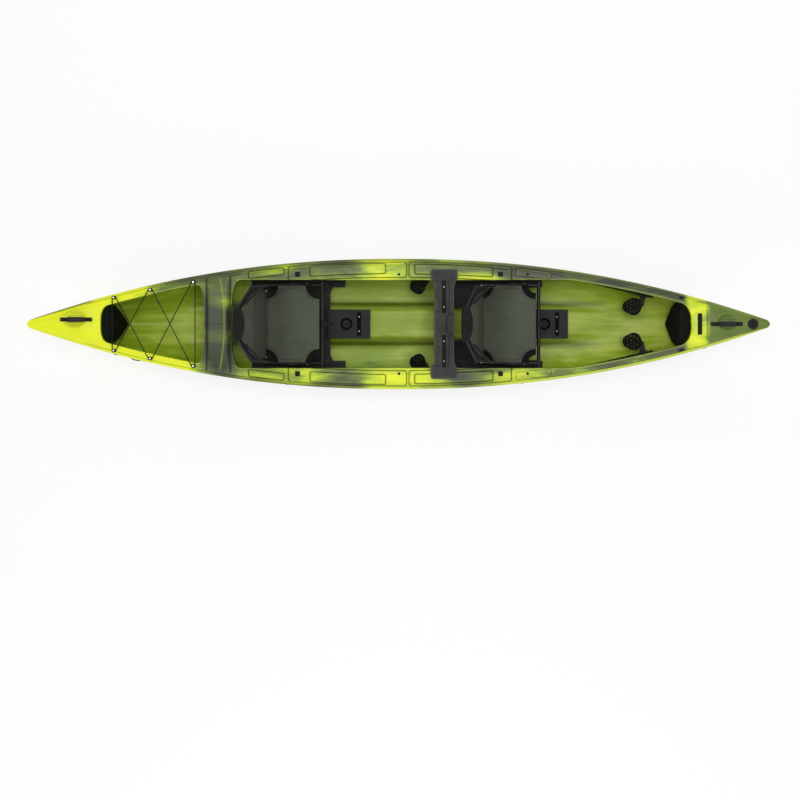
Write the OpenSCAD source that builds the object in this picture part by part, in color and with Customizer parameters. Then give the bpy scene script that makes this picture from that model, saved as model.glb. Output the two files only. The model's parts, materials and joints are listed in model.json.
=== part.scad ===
// Tandem kayak with a tunnel hull, an open cockpit, two sliding seats, foot pedals and an anchor trolley.
// +X runs to the bow, +Y to port and +Z up. The origin is amidships, on the keel's lowest level.

/* [Hull] */
// Length from tip to tip
hull_length = 4572; // [4400:1:4800]
// Greatest width over the gunwale rails
hull_beam = 810; // [780:1:850]
// Height of the gunwale above the keel amidships
hull_depth = 338; // [325:1:360]
// Rise of the gunwale from amidships to the tips
sheer_rise = 43; // [20:1:60]
// Half width of the blunt tips in plan
tip_half = 20; // [14:1:28]
// Moulded wall thickness
wall = 6; // [4:0.5:8]
// Power of the plan curve: larger is fuller
plan_power = 2.15; // [1.8:0.05:2.6]
// Half length of the flat run of the keel
rocker_flat = 300; // [150:10:450]
// Radius of the keel's rocker beyond the flat run
rocker_radius = 11000; // [8000:100:16000]
// Run of the raked stems, from the tip back to keel level
stem_run = 457; // [380:1:540]
// Height gained per unit of stem run
stem_slope = 0.81; // [0.7:0.01:0.95]
// Outer height of the tunnel between the sponsons
tunnel_top = 75; // [60:1:90]
// Half width of the tunnel's flat top
tunnel_half = 103; // [97:1:115]
// Width of each sloping tunnel side
tunnel_side = 35; // [20:1:50]
// Half length of the full-height tunnel
tunnel_reach = 1100; // [1090:10:1200]

/* [Deck] */
// Height of the rail band above the hull seam amidships
rail_height = 43; // [35:1:55]
// Height of the rail band at the tips
tip_rail_height = 25; // [18:1:32]
// Width of the rail's rounded top
rail_width = 43; // [36:1:50]
// Overhang of the rail over the hull side
rail_step = 6; // [3:0.5:9]
// Height of the rail above the side deck
deck_drop = 5; // [3:0.5:8]
// Length of the bow deck, from the tip to the cockpit
bow_deck = 475; // [460:1:520]
// Length of the stern deck, from the tip to the well
stern_deck = 443; // [430:1:480]
// Place of the cockpit's aft end along the hull
cockpit_aft = -1037; // [-1050:1:-1025]
// Length of the raised bridge between well and cockpit
bridge_length = 167; // [150:1:190]
// Rise of the bridge above the side decks
bridge_rise = 18; // [8:1:26]
// Crown of the bow and stern decks
end_crown = 12; // [6:1:18]
// Room between the seat frame's side tubes and the cockpit's edge
seat_side_room = 27; // [24:1:34]
// Least width of side deck beside the openings
side_deck = 58; // [52:1:64]
// Depth of the lip round the openings
lip_depth = 30; // [18:1:36]

/* [Foam blocks] */
// Distance of the stern foam's face forward of the well's aft end
stern_foam_reach = 46; // [30:1:60]
// Lean of the stern foam's face over its height
stern_foam_rake = 47; // [20:1:60]
// Distance of the bow foam's face aft of the cockpit's fore end
bow_foam_reach = 64; // [40:1:80]
// Lean of the bow foam's face over its height
bow_foam_rake = 21; // [10:1:40]

/* [End fittings] */
// Distance of the bow handle's middle from the tip
bow_handle_setback = 265; // [255:1:285]
// Distance of the stern handle's middle from the tip
stern_handle_setback = 301; // [285:1:320]
// Distance of the stern handle to port of the centre line
stern_handle_offset = 28; // [20:1:32]
// Width of the handle webbing
handle_width = 25; // [20:1:30]
// Length of a carry handle over its tabs
handle_length = 197; // [180:1:210]
// Clear height under a carry handle
handle_rise = 30; // [24:1:40]
// Distance of the drain plug from the bow tip
drain_setback = 105; // [95:1:115]
// Radius of the drain plug's cap
drain_radius = 29; // [24:1:31]
// Distance of the bow pad eyes ahead of the cockpit's bow end
pad_eye_aft = 65; // [50:1:90]
// Radius of the pad eye's hole
pad_eye_hole = 5; // [4:0.5:6]
// Distance of the aft cord hooks from the well's aft end
hook_aft = 87; // [75:1:100]
// Distance of the fore cord hooks from the well's fore end
hook_fore = 64; // [50:1:80]
// Share of the well's length at the middle cord hooks
hook_middle = 0.485; // [0.45:0.005:0.52]
// Diameter of the well's shock cord
shock_cord = 6; // [5:0.5:8]

/* [Crossbar] */
// Place of the crossbar's middle along the hull
thwart_x = 282; // [270:1:290]
// Width of the crossbar between its flared ends
thwart_width = 124; // [110:1:135]
// Width of the flared ends
thwart_flare = 167; // [150:1:180]
// Half span of the crossbar
thwart_half = 340; // [325:1:350]
// Thickness of the crossbar
thwart_thick = 20; // [16:1:26]
// Length of each accessory track
track_length = 199; // [180:1:205]
// Width of the accessory tracks
track_width = 26; // [22:1:30]
// Height of the accessory tracks
track_height = 8; // [6:0.5:9]
// Width of the T slot's mouth
track_slot = 9; // [7:0.5:11]

/* [Seats] */
// Place of the rear seat's hinge along the hull
rear_seat_x = -830; // [-840:1:-815]
// Distance from the rear seat to the front seat
seat_pitch = 1348; // [1335:1:1355]
// Distance from the rear seat base to the front seat base
base_pitch = 1267; // [1260:1:1275]
// Aft end of the rear seat base
rear_base_x = -944; // [-950:1:-935]
// Length of the seat base's side rails
base_length = 602; // [595:1:615]
// Half width of the seat base
base_half = 282; // [276:1:286]
// Thickness of the seat base's plate
base_plate = 10; // [8:0.5:14]
// Length of the console ahead of the side plates
console_length = 257; // [250:1:262]
// Half width of the console
console_half = 93; // [90:1:96]
// Height of the console
console_height = 46; // [42:1:56]
// Radius of the cup holder
cup_radius = 40; // [36:0.5:44]
// Depth of the cup holder
cup_depth = 38; // [30:1:40]
// Half width between the seat frame's side tubes
seat_half = 246; // [244:0.5:248]
// Radius of the seat tubes
seat_tube = 11; // [9:0.5:12]
// Depth of the seat frame from rear tube to front tube
seat_depth = 370; // [350:1:380]
// Height of the rear tube above the keel
seat_rear_z = 245; // [235:1:250]
// Height of the front tube above the keel
seat_front_z = 300; // [292:1:304]
// Height of the back hinge above the rear tube
hinge_rise = 40; // [36:1:46]
// Height of the folding back above its hinge
back_height = 328; // [315:1:345]
// Lean of the back's uprights, in degrees
back_lean = 11; // [6:0.5:14]
// Radius of the back tubes
back_tube = 10; // [8:0.5:11]
// Radius of the hinge bolts
hinge_bolt = 4; // [3:0.5:5]
// Thickness of the fabric pan and back
sling_thick = 12; // [8:1:16]
// Width of the adjustment straps
strap_width = 25; // [20:1:28]

/* [Foot pedals] */
// Middle of the middle pair's rails along the hull
mid_rail_x = 215; // [200:1:230]
// Length of the middle pair's rails
mid_rail_length = 400; // [360:1:420]
// Distance of the bow pair's rails, at their middle, from the cockpit's fore end
bow_rail_setback = 431; // [421:1:441]
// Length of the bow pair's rails
bow_rail_length = 480; // [460:1:500]
// Height of the foot rails above the keel
foot_rail_z = 185; // [180:1:195]
// Width of a pedal's pad
pad_width = 112; // [100:1:118]
// Length of a pedal's pad
pad_length = 140; // [125:1:148]
// Thickness of a pedal's pad
pad_thick = 7; // [5:0.5:9]

/* [Anchor trolley] */
// Distance of the stern eye from the stern tip
trolley_eye_setback = 396; // [380:1:410]
// Distance of the floating stern block from the stern tip
trolley_stern_setback = 530; // [520:1:545]
// Distance of the bow block from the bow tip
trolley_bow_setback = 385; // [375:1:400]
// Distance of the ring from the stern tip
trolley_ring_setback = 650; // [640:1:665]
// Depth of the trolley's middle line below the hull seam
trolley_drop = 24; // [22:0.5:30]
// Pitch radius of the sheaves
sheave_pitch = 13; // [12:0.5:14]
// Diameter of the trolley line
line_cord = 5; // [4:0.5:5.5]
// Outer diameter of the trolley ring
ring_size = 64; // [56:1:68]
// Wire diameter of the trolley ring
ring_wire = 6; // [5:0.5:8]

/* [Clearances] */
// Gap between pieces that rest on each other
seat_gap = 0.3; // [0.2:0.05:0.5]
// Gap between fittings and the faceted hull or deck
hull_gap = 0.5; // [0.4:0.05:0.7]
// Radial clearance of pins in their bores
pin_gap = 0.05; // [0.03:0.01:0.08]

/* [Hidden] */
$fn = 48;

// Colours
moulded_lime = [0.72, 0.80, 0.16];
moulded_olive = [0.42, 0.48, 0.24];
black_plastic = [0.13, 0.13, 0.13];
grey_plastic = [0.24, 0.24, 0.23];
grey_fabric = [0.29, 0.31, 0.26];
black_fabric = [0.09, 0.09, 0.09];
foam_black = [0.07, 0.07, 0.07];
steel = [0.82, 0.82, 0.80];

// Small maths
function unit(v) = max(0, min(1, v));
function ease(v) = let (t = unit(v)) t * t * (3 - 2 * t);
function mix(a, b, t) = a + (b - a) * t;
function soft_max(a, b, k) = let (h = unit(0.5 + (a - b) / (2 * k))) mix(b, a, h) + k * h * (1 - h);
function soft_min(a, b, k) = -soft_max(-a, -b, k);
function flip(list) = [for (i = [len(list) - 1 : -1 : 0]) list[i]];
function along(a, b, count) = [for (i = [0 : count - 1]) mix(a, b, i / count)];
function direction(v) = v / norm(v);

// Hull lines
half_len = hull_length / 2;
stem_foot = half_len - stem_run;
rocker_middle = -50;
bow_skeg_x = half_len - 981;
bow_skeg_z = 51;
bow_skeg_fall = 0.0413;
stern_skeg_x = half_len - 1117;
stern_skeg_z = 34;
stern_skeg_fall = 0.0307;
tunnel_fade = 320;
bilge_middle = 3.0;
bilge_ends = 1.2;
stern_bilge = [0.35, 0.5];
bow_bilge = [0.58, 0.28];
hull_end = half_len - 25;
cavity_end = half_len - 236;
hull_stations = 44;
bilge_steps = 9;

function share(x) = min(1, abs(x) / half_len);
function tip_round(x) = sqrt(max(0.02, 1 - pow(max(0, abs(x) - half_len + tip_half) / tip_half, 2)));
function half_beam(x) = tip_half * tip_round(x) 
    + (hull_beam / 2 - tip_half) * (1 - pow(share(x), plan_power));
function sheer(x) = hull_depth + sheer_rise * pow(share(x), 2.5);
function seam(x) = sheer(x) - mix(rail_height, tip_rail_height, pow(share(x), 3));
function rocker(x) = pow(max(0, abs(x - rocker_middle) - rocker_flat), 2) / (2 * rocker_radius);
function skeg_line(x) = x > 0
    ? bow_skeg_z - bow_skeg_fall * (x - bow_skeg_x)
    : stern_skeg_z - stern_skeg_fall * (-x - stern_skeg_x);
function stem_line(x) = stem_slope * (abs(x) - stem_foot);
function keel(x) = min(soft_max(soft_min(rocker(x), skeg_line(x), 12), stem_line(x), 30), seam(x) - 4);
function bilge(x) = let (turn = x > 0 ? bow_bilge : stern_bilge)
    mix(bilge_middle, bilge_ends, ease((share(x) - turn[0]) / turn[1]));
function tunnel_share(x) = 1 - ease((abs(x) - tunnel_reach) / tunnel_fade);

// Half section from the centre line up to the seam, as [y, z] points, moved inwards by inset
function side_half(x, inset) = half_beam(x) - rail_step - inset;
function section_floor(x, inset) = keel(x) + 1.2 * inset;
function foot_half(x, inset) = min(tunnel_half + tunnel_side + inset, 0.4 * side_half(x, inset));
function flat_half(x, inset) = foot_half(x, inset) * tunnel_share(x);
function section_z(x, y, inset) = let (m = bilge(x), b = side_half(x, inset), f = flat_half(x, inset),
    t = unit((y - f) / (b - f)), h = seam(x) - section_floor(x, inset))
    seam(x) - h * pow(1 - pow(t, m), 1 / m);
function side_y(x, z, inset) = let (m = bilge(x), b = side_half(x, inset), f = flat_half(x, inset),
    v = unit((seam(x) - z) / (seam(x) - section_floor(x, inset))))
    f + (b - f) * pow(1 - pow(v, m), 1 / m);
function half_section(x, inset) = let (
    m = bilge(x),
    b = side_half(x, inset),
    f = flat_half(x, inset),
    h = seam(x) - section_floor(x, inset),
    crest = min(tunnel_half + inset / 2, 0.2 * b),
    raised = tunnel_top + inset,
    foot_angle = asin(pow((foot_half(x, inset) - f) / (b - f), m / 2)))
    concat(
        [[0, mix(section_floor(x, inset), raised, tunnel_share(x))],
         [crest, mix(section_z(x, crest, inset), raised, tunnel_share(x))]],
        [for (i = [0 : bilge_steps]) let (a = mix(foot_angle, 90, i / bilge_steps))
            [f + (b - f) * pow(sin(a), 2 / m), seam(x) - h * pow(cos(a), 2 / m)]]);
function full_section(x, inset) = let (half = half_section(x, inset), n = len(half) - 1)
    [for (j = [-n : n]) [x, (j < 0 ? 1 : -1) * half[abs(j)].x, half[abs(j)].y]];

// Height of the floor inside the hull
function floor_z(x, y) = section_z(x, abs(y), wall);
floor_level = tunnel_top + wall;

// Triangles of a grid of points whose rows follow each other, seen from outside anticlockwise
function grid_faces(rows, columns, first) = [for (i = [0 : rows - 2], j = [0 : columns - 2])
    let (a = first + i * columns + j, b = a + columns)
    each [[a, b, b + 1], [a, b + 1, a + 1]]];

module closed_mesh(points, faces) {
    polyhedron(points, [for (f = faces) flip(f)]);
}

// A round bar from point a to point b
module bar(a, b, r) {
    d = b - a;
    translate(a) rotate([0, acos(d.z / norm(d)), atan2(d.y, d.x)]) cylinder(h = norm(d), r = r);
}

// A tube of n sides along a path that is nowhere upright
function path_side(path, i, closed) = let (
    n = len(path),
    before = closed ? path[(i + n - 1) % n] : path[max(0, i - 1)],
    after = closed ? path[(i + 1) % n] : path[min(n - 1, i + 1)])
    direction(after - before);
function tube_points(path, r, n, closed, up) = [for (i = [0 : len(path) - 1])
    let (t = path_side(path, i, closed), s = direction(cross(up, t)), u = cross(t, s))
    for (k = [0 : n - 1]) path[i] + r * (cos(360 * k / n) * s + sin(360 * k / n) * u)];
function tube_faces(rings, n, closed) = [for (i = [0 : rings - (closed ? 1 : 2)], k = [0 : n - 1])
    let (a = i * n + k, b = i * n + (k + 1) % n, c = ((i + 1) % rings) * n)
    each [[a, b, c + (k + 1) % n], [a, c + (k + 1) % n, c + k]]];
module closed_tube(path, r, n, up) {
    closed_mesh(tube_points(path, r, n, true, up), tube_faces(len(path), n, true));
}

// Hull shell: one outer and one inner loft, joined at the rim, with solid stems
module hull_shell() {
    xs = [for (i = [0 : hull_stations]) mix(-hull_end, hull_end, i / hull_stations)];
    inner = [for (x = xs) if (abs(x) <= cavity_end) x];
    start = len([for (x = xs) if (x < -cavity_end) x]);
    rows = len(xs);
    inner_rows = len(inner);
    columns = len(full_section(0, 0));
    end = start + inner_rows - 1;
    inner_first = rows * columns;
    points = concat([for (x = xs) each full_section(x, 0)], [for (x = inner) each full_section(x, wall)]);
    function out(i, j) = i * columns + j;
    function in(i, j) = inner_first + (i - start) * columns + j;
    last = columns - 1;
    faces = concat(
        grid_faces(rows, columns, 0),
        [for (f = grid_faces(inner_rows, columns, inner_first)) flip(f)],
        [for (i = [start : end - 1]) each [
            [out(i, 0), in(i, 0), in(i + 1, 0), out(i + 1, 0)],
            [out(i, last), out(i + 1, last), in(i + 1, last), in(i, last)]]],
        [for (i = [0 : start - 2]) [out(i, 0), out(i, last), out(i + 1, last), out(i + 1, 0)]],
        [for (i = [end + 1 : rows - 2]) [out(i, 0), out(i, last), out(i + 1, last), out(i + 1, 0)]],
        [[out(start - 1, 0), out(start - 1, last), out(start, last), in(start, last), in(start, 0),
            out(start, 0)],
         [out(end + 1, 0), out(end, 0), in(end, 0), in(end, last), out(end, last), out(end + 1, last)],
         [for (j = [last : -1 : 0]) in(start, j)],
         [for (j = [0 : last]) in(end, j)],
         [for (j = [0 : last]) out(0, j)],
         [for (j = [last : -1 : 0]) out(rows - 1, j)]]);
    color(moulded_lime) closed_mesh(points, faces);
}

// Openings in the deck: the stern well and the cockpit
well_aft = -half_len + stern_deck;
well_fore = cockpit_aft - bridge_length;
cockpit_fore = half_len - bow_deck;
cockpit_half = seat_half + seat_side_room;
well_corner = 55;
cockpit_corner = 70;
bow_corner = 85;
corner_angles = [8, 20, 36, 54, 72];

function end_shape(t) = pow(1 - pow(1 - unit(t), 3), 1 / 3);
function corner_run(a) = 1 - pow(cos(a), 2 / 3);
function well_half(x) = (half_beam(x) - side_deck)
    * end_shape((x - well_aft) / well_corner) * end_shape((well_fore - x) / well_corner);
function cockpit_width(x) = soft_min(cockpit_half, half_beam(x) - side_deck, 8);
function cockpit_open(x) = cockpit_width(x)
    * end_shape((x - cockpit_aft) / cockpit_corner) * end_shape((cockpit_fore - x) / bow_corner);
function opening_half(x) = x > well_aft && x < well_fore ? well_half(x)
    : x > cockpit_aft && x < cockpit_fore ? cockpit_open(x) : 0;
function is_edge(x) = x == well_aft || x == well_fore || x == cockpit_aft || x == cockpit_fore;

// Rail profile: distance in from the rail's side against depth below the sheer line
rail_profile = [[0, 16], [7, 5], [18, 0], [rail_width - 7, 0.5], [rail_width, deck_drop]];
rail_foot = rail_step + wall;
function rail_scale(x) = min(1, half_beam(x) / 95);
function bridge_crown(x, y) = bridge_rise * ease((x - well_fore - 8) / 26) * ease((cockpit_aft - x - 4) / 26)
    * (1 - pow(min(1, abs(y) / (half_beam(x) - rail_width)), 4));
function end_deck_crown(x, y) = end_crown * rail_scale(x)
    * ease(max(x - cockpit_fore, -x + well_aft) / 150)
    * (1 - pow(min(1, abs(y) / max(1, half_beam(x) - rail_width * rail_scale(x))), 2));
function deck_z(x, y) = let (s = rail_scale(x), d = (half_beam(x) - abs(y)) / s)
    sheer(x) - s * lookup(d, rail_profile)
    + (d > rail_width ? bridge_crown(x, y) + end_deck_crown(x, y) : 0);

// Level at which a flat piece of half size hx by hy rests on the deck
function seat_on(x, y, hx, hy) = hull_gap + max([for (dx = [-hx, 0, hx],
    dy = [-hy, 0, hy]) deck_z(x + dx, y + dy)]);

deck_inner_shares = [0.12, 0.35, 0.68, 1];
function deck_top(x) = let (s = rail_scale(x), b = half_beam(x), r = b - rail_width * s,
    o = opening_half(x))
    concat([[b, seam(x) + seat_gap]],
        [for (p = rail_profile) [b - p.x * s, sheer(x) - p.y * s]],
        [for (f = deck_inner_shares) let (y = mix(r, o, f))
            [y, sheer(x) - deck_drop * s + bridge_crown(x, y) + end_deck_crown(x, y)]]);
function deck_under(x) = let (s = rail_scale(x), b = half_beam(x), top = deck_top(x), n = len(top) - 1,
    lip = opening_half(x) > 0 || is_edge(x) ? lip_depth : wall)
    concat([[b - rail_foot * s, seam(x) + seat_gap], [b - rail_foot * s, sheer(x) - (16 + wall) * s],
            [b - (rail_foot + 2) * s, sheer(x) - (5 + wall) * s], [b - 20 * s, sheer(x) - wall * s]],
        [for (k = [4 : n - 1]) [top[k].x, top[k].y - wall * s]],
        [[top[n].x, top[n].y - lip * s]]);

deck_stations = concat(
    [for (a = [0, 25, 50, 75]) -half_len + tip_half * (1 - cos(a))],
    along(-half_len + tip_half, well_aft, 7),
    [well_aft], [for (a = corner_angles) well_aft + well_corner * corner_run(a)],
    along(well_aft + well_corner, well_fore - well_corner, 4), [well_fore - well_corner],
    flip([for (a = corner_angles) well_fore - well_corner * corner_run(a)]), [well_fore],
    [for (d = [8, 16, 24, 34, 60, 84]) well_fore + d],
    [for (d = [60, 30, 18, 10, 4]) cockpit_aft - d],
    [cockpit_aft], [for (a = corner_angles) cockpit_aft + cockpit_corner * corner_run(a)],
    along(cockpit_aft + cockpit_corner, cockpit_fore - bow_corner, 24), [cockpit_fore - bow_corner],
    flip([for (a = corner_angles) cockpit_fore - bow_corner * corner_run(a)]), [cockpit_fore],
    along(cockpit_fore + 30, half_len - tip_half, 7),
    [for (a = [90, 75, 50, 25, 0]) half_len - tip_half * (1 - cos(a))]);

// Deck moulding: rail, side decks, end decks and bridge in one skin, with a lip round each opening
module deck_moulding() {
    rows = len(deck_stations);
    n = len(deck_top(0)) - 1;
    ring = 2 * (n + 1);
    side = rows * ring;
    points = concat(
        [for (x = deck_stations) each concat(
            [for (p = deck_top(x)) [x, p.x, p.y]], [for (p = deck_under(x)) [x, p.x, p.y]])],
        [for (x = deck_stations) each concat(
            [for (p = deck_top(x)) [x, -p.x, p.y]], [for (p = deck_under(x)) [x, -p.x, p.y]])]);
    function shut(i) = opening_half(deck_stations[i]) <= 0;
    function top(s, i, k) = (k == n && shut(i) ? 0 : s * side) + i * ring + k;
    function low(s, i, k) = top(s, i, k) + n + 1;
    function strip(a, b, c, d) = [[a, b, c], [a, c, d]];
    port = [for (s = [0, 1]) let (turn = s == 1) each concat(
        [for (i = [0 : rows - 2]) each concat(
            [for (k = [0 : n - 1]) each strip(top(s, i, k), top(s, i, k + 1), top(s, i + 1, k + 1),
                top(s, i + 1, k))],
            [for (k = [0 : n - 1]) each strip(low(s, i, k), low(s, i + 1, k), low(s, i + 1, k + 1),
                low(s, i, k + 1))],
            strip(top(s, i, 0), top(s, i + 1, 0), low(s, i + 1, 0), low(s, i, 0)),
            shut(i) && shut(i + 1) ? [] :
                strip(top(s, i, n), low(s, i, n), low(s, i + 1, n), top(s, i + 1, n)))],
        [for (k = [0 : n - 1]) each concat(
            strip(top(s, 0, k), low(s, 0, k), low(s, 0, k + 1), top(s, 0, k + 1)),
            strip(top(s, rows - 1, k), top(s, rows - 1, k + 1), low(s, rows - 1, k + 1),
                low(s, rows - 1, k)))])];
    count = len(port) / 2;
    faces = [for (f = [0 : len(port) - 1]) f < count ? port[f] : flip(port[f])];
    color(moulded_olive) closed_mesh(points, faces);
}

// Foam pillar blocks wedged between the floor and the end decks
foam_setback = 350;
foam_tail = half_len - foam_setback;
foam_gap = 3;
foam_margin = 60;
module foam_block(face_x, tail_x, rake) {
    function slice(x) = let (
        far = x + sign(x) * foam_margin,
        top = sheer(x) - deck_drop - lip_depth - hull_gap,
        half = side_y(far, top, wall) - foam_gap,
        keel_z = section_z(far, 0, wall) + foam_gap,
        shoulder = mix(keel_z, top, 0.45),
        shoulder_half = side_y(far, shoulder, wall) - foam_gap,
        lean = abs(x - face_x) < 1 ? rake / (top - keel_z) : 0,
        outline = [[half, top], [shoulder_half, shoulder], [0, keel_z],
            [-shoulder_half, shoulder], [-half, top]])
        [for (p = outline) [x + lean * (top - p.y), p.x, p.y]];
    xs = [for (i = [0 : 3]) mix(min(face_x, tail_x), max(face_x, tail_x), i / 3)];
    columns = 5;
    points = [for (x = xs) each slice(x)];
    faces = concat(grid_faces(4, columns, 0),
        [for (i = [0 : 2]) let (a = i * columns, b = a + columns) each
            [[a, a + 4, b + 4], [a, b + 4, b]]],
        [[for (j = [0 : 4]) j], [for (j = [4 : -1 : 0]) 3 * columns + j]]);
    closed_mesh(points, faces);
}
module stern_foam_block() {
    color(foam_black) foam_block(well_aft + stern_foam_reach, -foam_tail, stern_foam_rake);
}
module bow_foam_block() {
    color(foam_black) foam_block(cockpit_fore - bow_foam_reach, foam_tail, -bow_foam_rake);
}

// Carry handles: webbing arched over the deck between two screwed tabs, with a moulded grip
strap_thick = 3;
tab_length = 28;
grip_thick = 10;
grip_share = 0.72;
handle_chord = handle_length - 2 * tab_length;
handle_arc = (handle_chord * handle_chord / 4 + handle_rise * handle_rise) / (2 * handle_rise);
handle_angle = asin(handle_chord / 2 / handle_arc);
module handle_arch(angle, thick, width) {
    translate([0, 0, handle_rise - handle_arc]) rotate([90, 0, 0]) rotate([0, 0, 90 - angle])
        rotate_extrude(angle = 2 * angle, $fn = 96)
            translate([handle_arc - (thick - strap_thick) / 2, -width / 2]) square([thick, width]);
}
function handle_seat(x, y) = max([for (i = [-1, 0, 1], j = [-1, 0, 1])
    deck_z(x + i * handle_length / 2, y + j * handle_width / 2)]) + hull_gap;
function arch_point(r, a) = [r * sin(a), handle_rise - handle_arc + r * cos(a)];
outer_angle = acos((strap_thick - handle_rise + handle_arc) / (handle_arc + strap_thick));
arch_steps = 24;
module handle_strap(x, y) {
    translate([x, y + handle_width / 2, handle_seat(x, y)])
        rotate([90, 0, 0]) linear_extrude(handle_width) polygon(concat(
        [[-handle_length / 2, 0], [-handle_length / 2, strap_thick]],
        [for (i = [0 : arch_steps]) arch_point(handle_arc + strap_thick,
            mix(-outer_angle, outer_angle, i / arch_steps))],
        [[handle_length / 2, strap_thick], [handle_length / 2, 0]],
        [for (i = [0 : arch_steps]) arch_point(handle_arc,
            mix(handle_angle, -handle_angle, i / arch_steps))]));
}
module handle_grip(x, y) {
    translate([x, y, handle_seat(x, y)]) difference() {
        handle_arch(handle_angle * grip_share, grip_thick, handle_width + 6);
        handle_arch(handle_angle, strap_thick + 2 * seat_gap, handle_width + 2 * seat_gap);
    }
}
stern_handle_x = -half_len + stern_handle_setback;
bow_handle_x = half_len - bow_handle_setback;
module stern_handle_strap() {
    color(black_fabric) handle_strap(stern_handle_x, stern_handle_offset);
}
module stern_handle_grip() {
    color(black_plastic) handle_grip(stern_handle_x, stern_handle_offset);
}
module bow_handle_strap() {
    color(black_fabric) handle_strap(bow_handle_x, 0);
}
module bow_handle_grip() {
    color(black_plastic) handle_grip(bow_handle_x, 0);
}

// Round head of a screw, standing on z = 0
module screw_head(r) {
    cylinder(h = r * 0.45, r = r);
}
module handle_screws() {
    color(steel) for (at = [[stern_handle_x, stern_handle_offset], [bow_handle_x, 0]], s = [-1, 1])
        translate([at.x + s * (handle_length / 2 - 10), at.y, handle_seat(at.x, at.y) + strap_thick])
            screw_head(6);
}

// Drain plug on the bow deck, screwed into a seat ring
drain_x = half_len - drain_setback;
drain_stem = drain_radius * 0.66;
drain_ring_height = 9;
drain_z = max(deck_z(drain_x - drain_radius, 0), deck_z(drain_x, 0)) + hull_gap;
module drain_seat() {
    color(black_plastic) translate([drain_x, 0, drain_z]) difference() {
        cylinder(h = drain_ring_height, r = drain_radius + 2);
        translate([0, 0, -1]) cylinder(h = drain_ring_height + 2, r = drain_stem + pin_gap);
    }
}
module drain_plug() {
    color(black_plastic) translate([drain_x, 0, drain_z]) difference() {
        union() {
            translate([0, 0, 1]) cylinder(h = drain_ring_height, r = drain_stem);
            translate([0, 0, drain_ring_height + seat_gap]) cylinder(h = 5, r = drain_radius);
            translate([0, 0, drain_ring_height + 4]) cylinder(h = 9, r = drain_radius * 0.62);
        }
        for (s = [-1, 1]) translate([s * drain_radius * 0.42, 0, drain_ring_height + 11])
            cube([drain_radius * 0.5, drain_radius * 1.6, 10], center = true);
    }
}

// Pad eyes at the bow end of the cockpit
pad_eye_x = cockpit_fore - pad_eye_aft;
pad_eye_y = half_beam(pad_eye_x) - 27;
pad_eye_height = 16;
function rail_angle(x) = atan2(half_beam(x + 1) - half_beam(x - 1), 2);
module on_rail(x, y) {
    for (s = [-1, 1]) translate([x, s * y, seat_on(x, y, 20, 8)]) rotate([0, 0,
        s * rail_angle(x)]) children();
}
module bow_pad_eyes() {
    color(black_plastic) on_rail(pad_eye_x, pad_eye_y) difference() {
        union() {
            translate([-20, -8, 0]) cube([40, 16, 3]);
            rotate([90, 0, 0]) translate([0, 3.5 + pad_eye_hole, -4]) cylinder(h = 8, r = pad_eye_hole + 4);
        }
        rotate([90, 0, 0]) translate([0, 3.5 + pad_eye_hole, -6]) cylinder(h = 12, r = pad_eye_hole);
    }
}

// Hooks round the stern well and the shock cord laced over them
hook_insets = [24, 30, 38];
hook_places = [[well_aft + hook_aft, hook_insets[0]], [mix(well_aft, well_fore, hook_middle), hook_insets[1]],
    [well_fore - hook_fore, hook_insets[2]]];
hook_post = 7;
hook_floor = 4;
function hook_y(k) = half_beam(hook_places[k].x) - hook_places[k].y;
function hook_z(k) = seat_on(hook_places[k].x, hook_y(k), 13, 8);
module bungee_hooks() {
    color(black_plastic) for (k = [0 : 2], s = [-1, 1])
        translate([hook_places[k].x, s * hook_y(k), hook_z(k)]) {
            translate([-13, -8, 0]) cube([26, 16, hook_floor]);
            cylinder(h = hook_floor + shock_cord + 3, r = hook_post);
            translate([0, 0, hook_floor + shock_cord + 1]) cylinder(h = 3, r = hook_post + 5);
        }
}
module deck_screws() {
    color(steel) {
        for (k = [0 : 2], s = [-1, 1])
            translate([hook_places[k].x, s * hook_y(k),
                hook_z(k) + hook_floor + shock_cord + 4]) screw_head(5);
        on_rail(pad_eye_x, pad_eye_y) for (e = [-1, 1]) translate([e * 15, 0, 3]) screw_head(4);
    }
}

// The cord runs round the posts in the order aft port, middle starboard, fore port, fore starboard,
// middle port, aft starboard, and crosses itself at two places
lace_order = [[0, 1], [1, -1], [2, 1], [2, -1], [1, 1], [0, -1]];
lace_lift = [-1, 1, 0, -1, 1, 0];
function hook_top(i) = let (h = lace_order[i % 6])
    [hook_places[h[0]].x, h[1] * hook_y(h[0]), hook_z(h[0]) + hook_floor + shock_cord / 2 + seat_gap];
lace_radius = hook_post + shock_cord / 2 + seat_gap;
function lace_out(i) = let (
    here = hook_top(i),
    away = direction(2 * here - hook_top(i + 1) - hook_top(i + 5)))
    direction([away.x, away.y, 0]);
function lace_turn(i) = let (
    here = hook_top(i), out = lace_out(i),
    to_next = direction(hook_top(i + 1) - here),
    spin = cross(to_next, out).z > 0 ? 1 : -1,
    half_turn = 90 - acos(max(-1, min(1, -(out * to_next)))) + 0,
    base = atan2(out.y, out.x))
    [for (t = [-1, -0.5, 0, 0.5, 1]) let (a = base - t * spin * (180 - 2 * (90 - half_turn)) / 2)
        here + lace_radius * [cos(a), sin(a), 0]];
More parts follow.
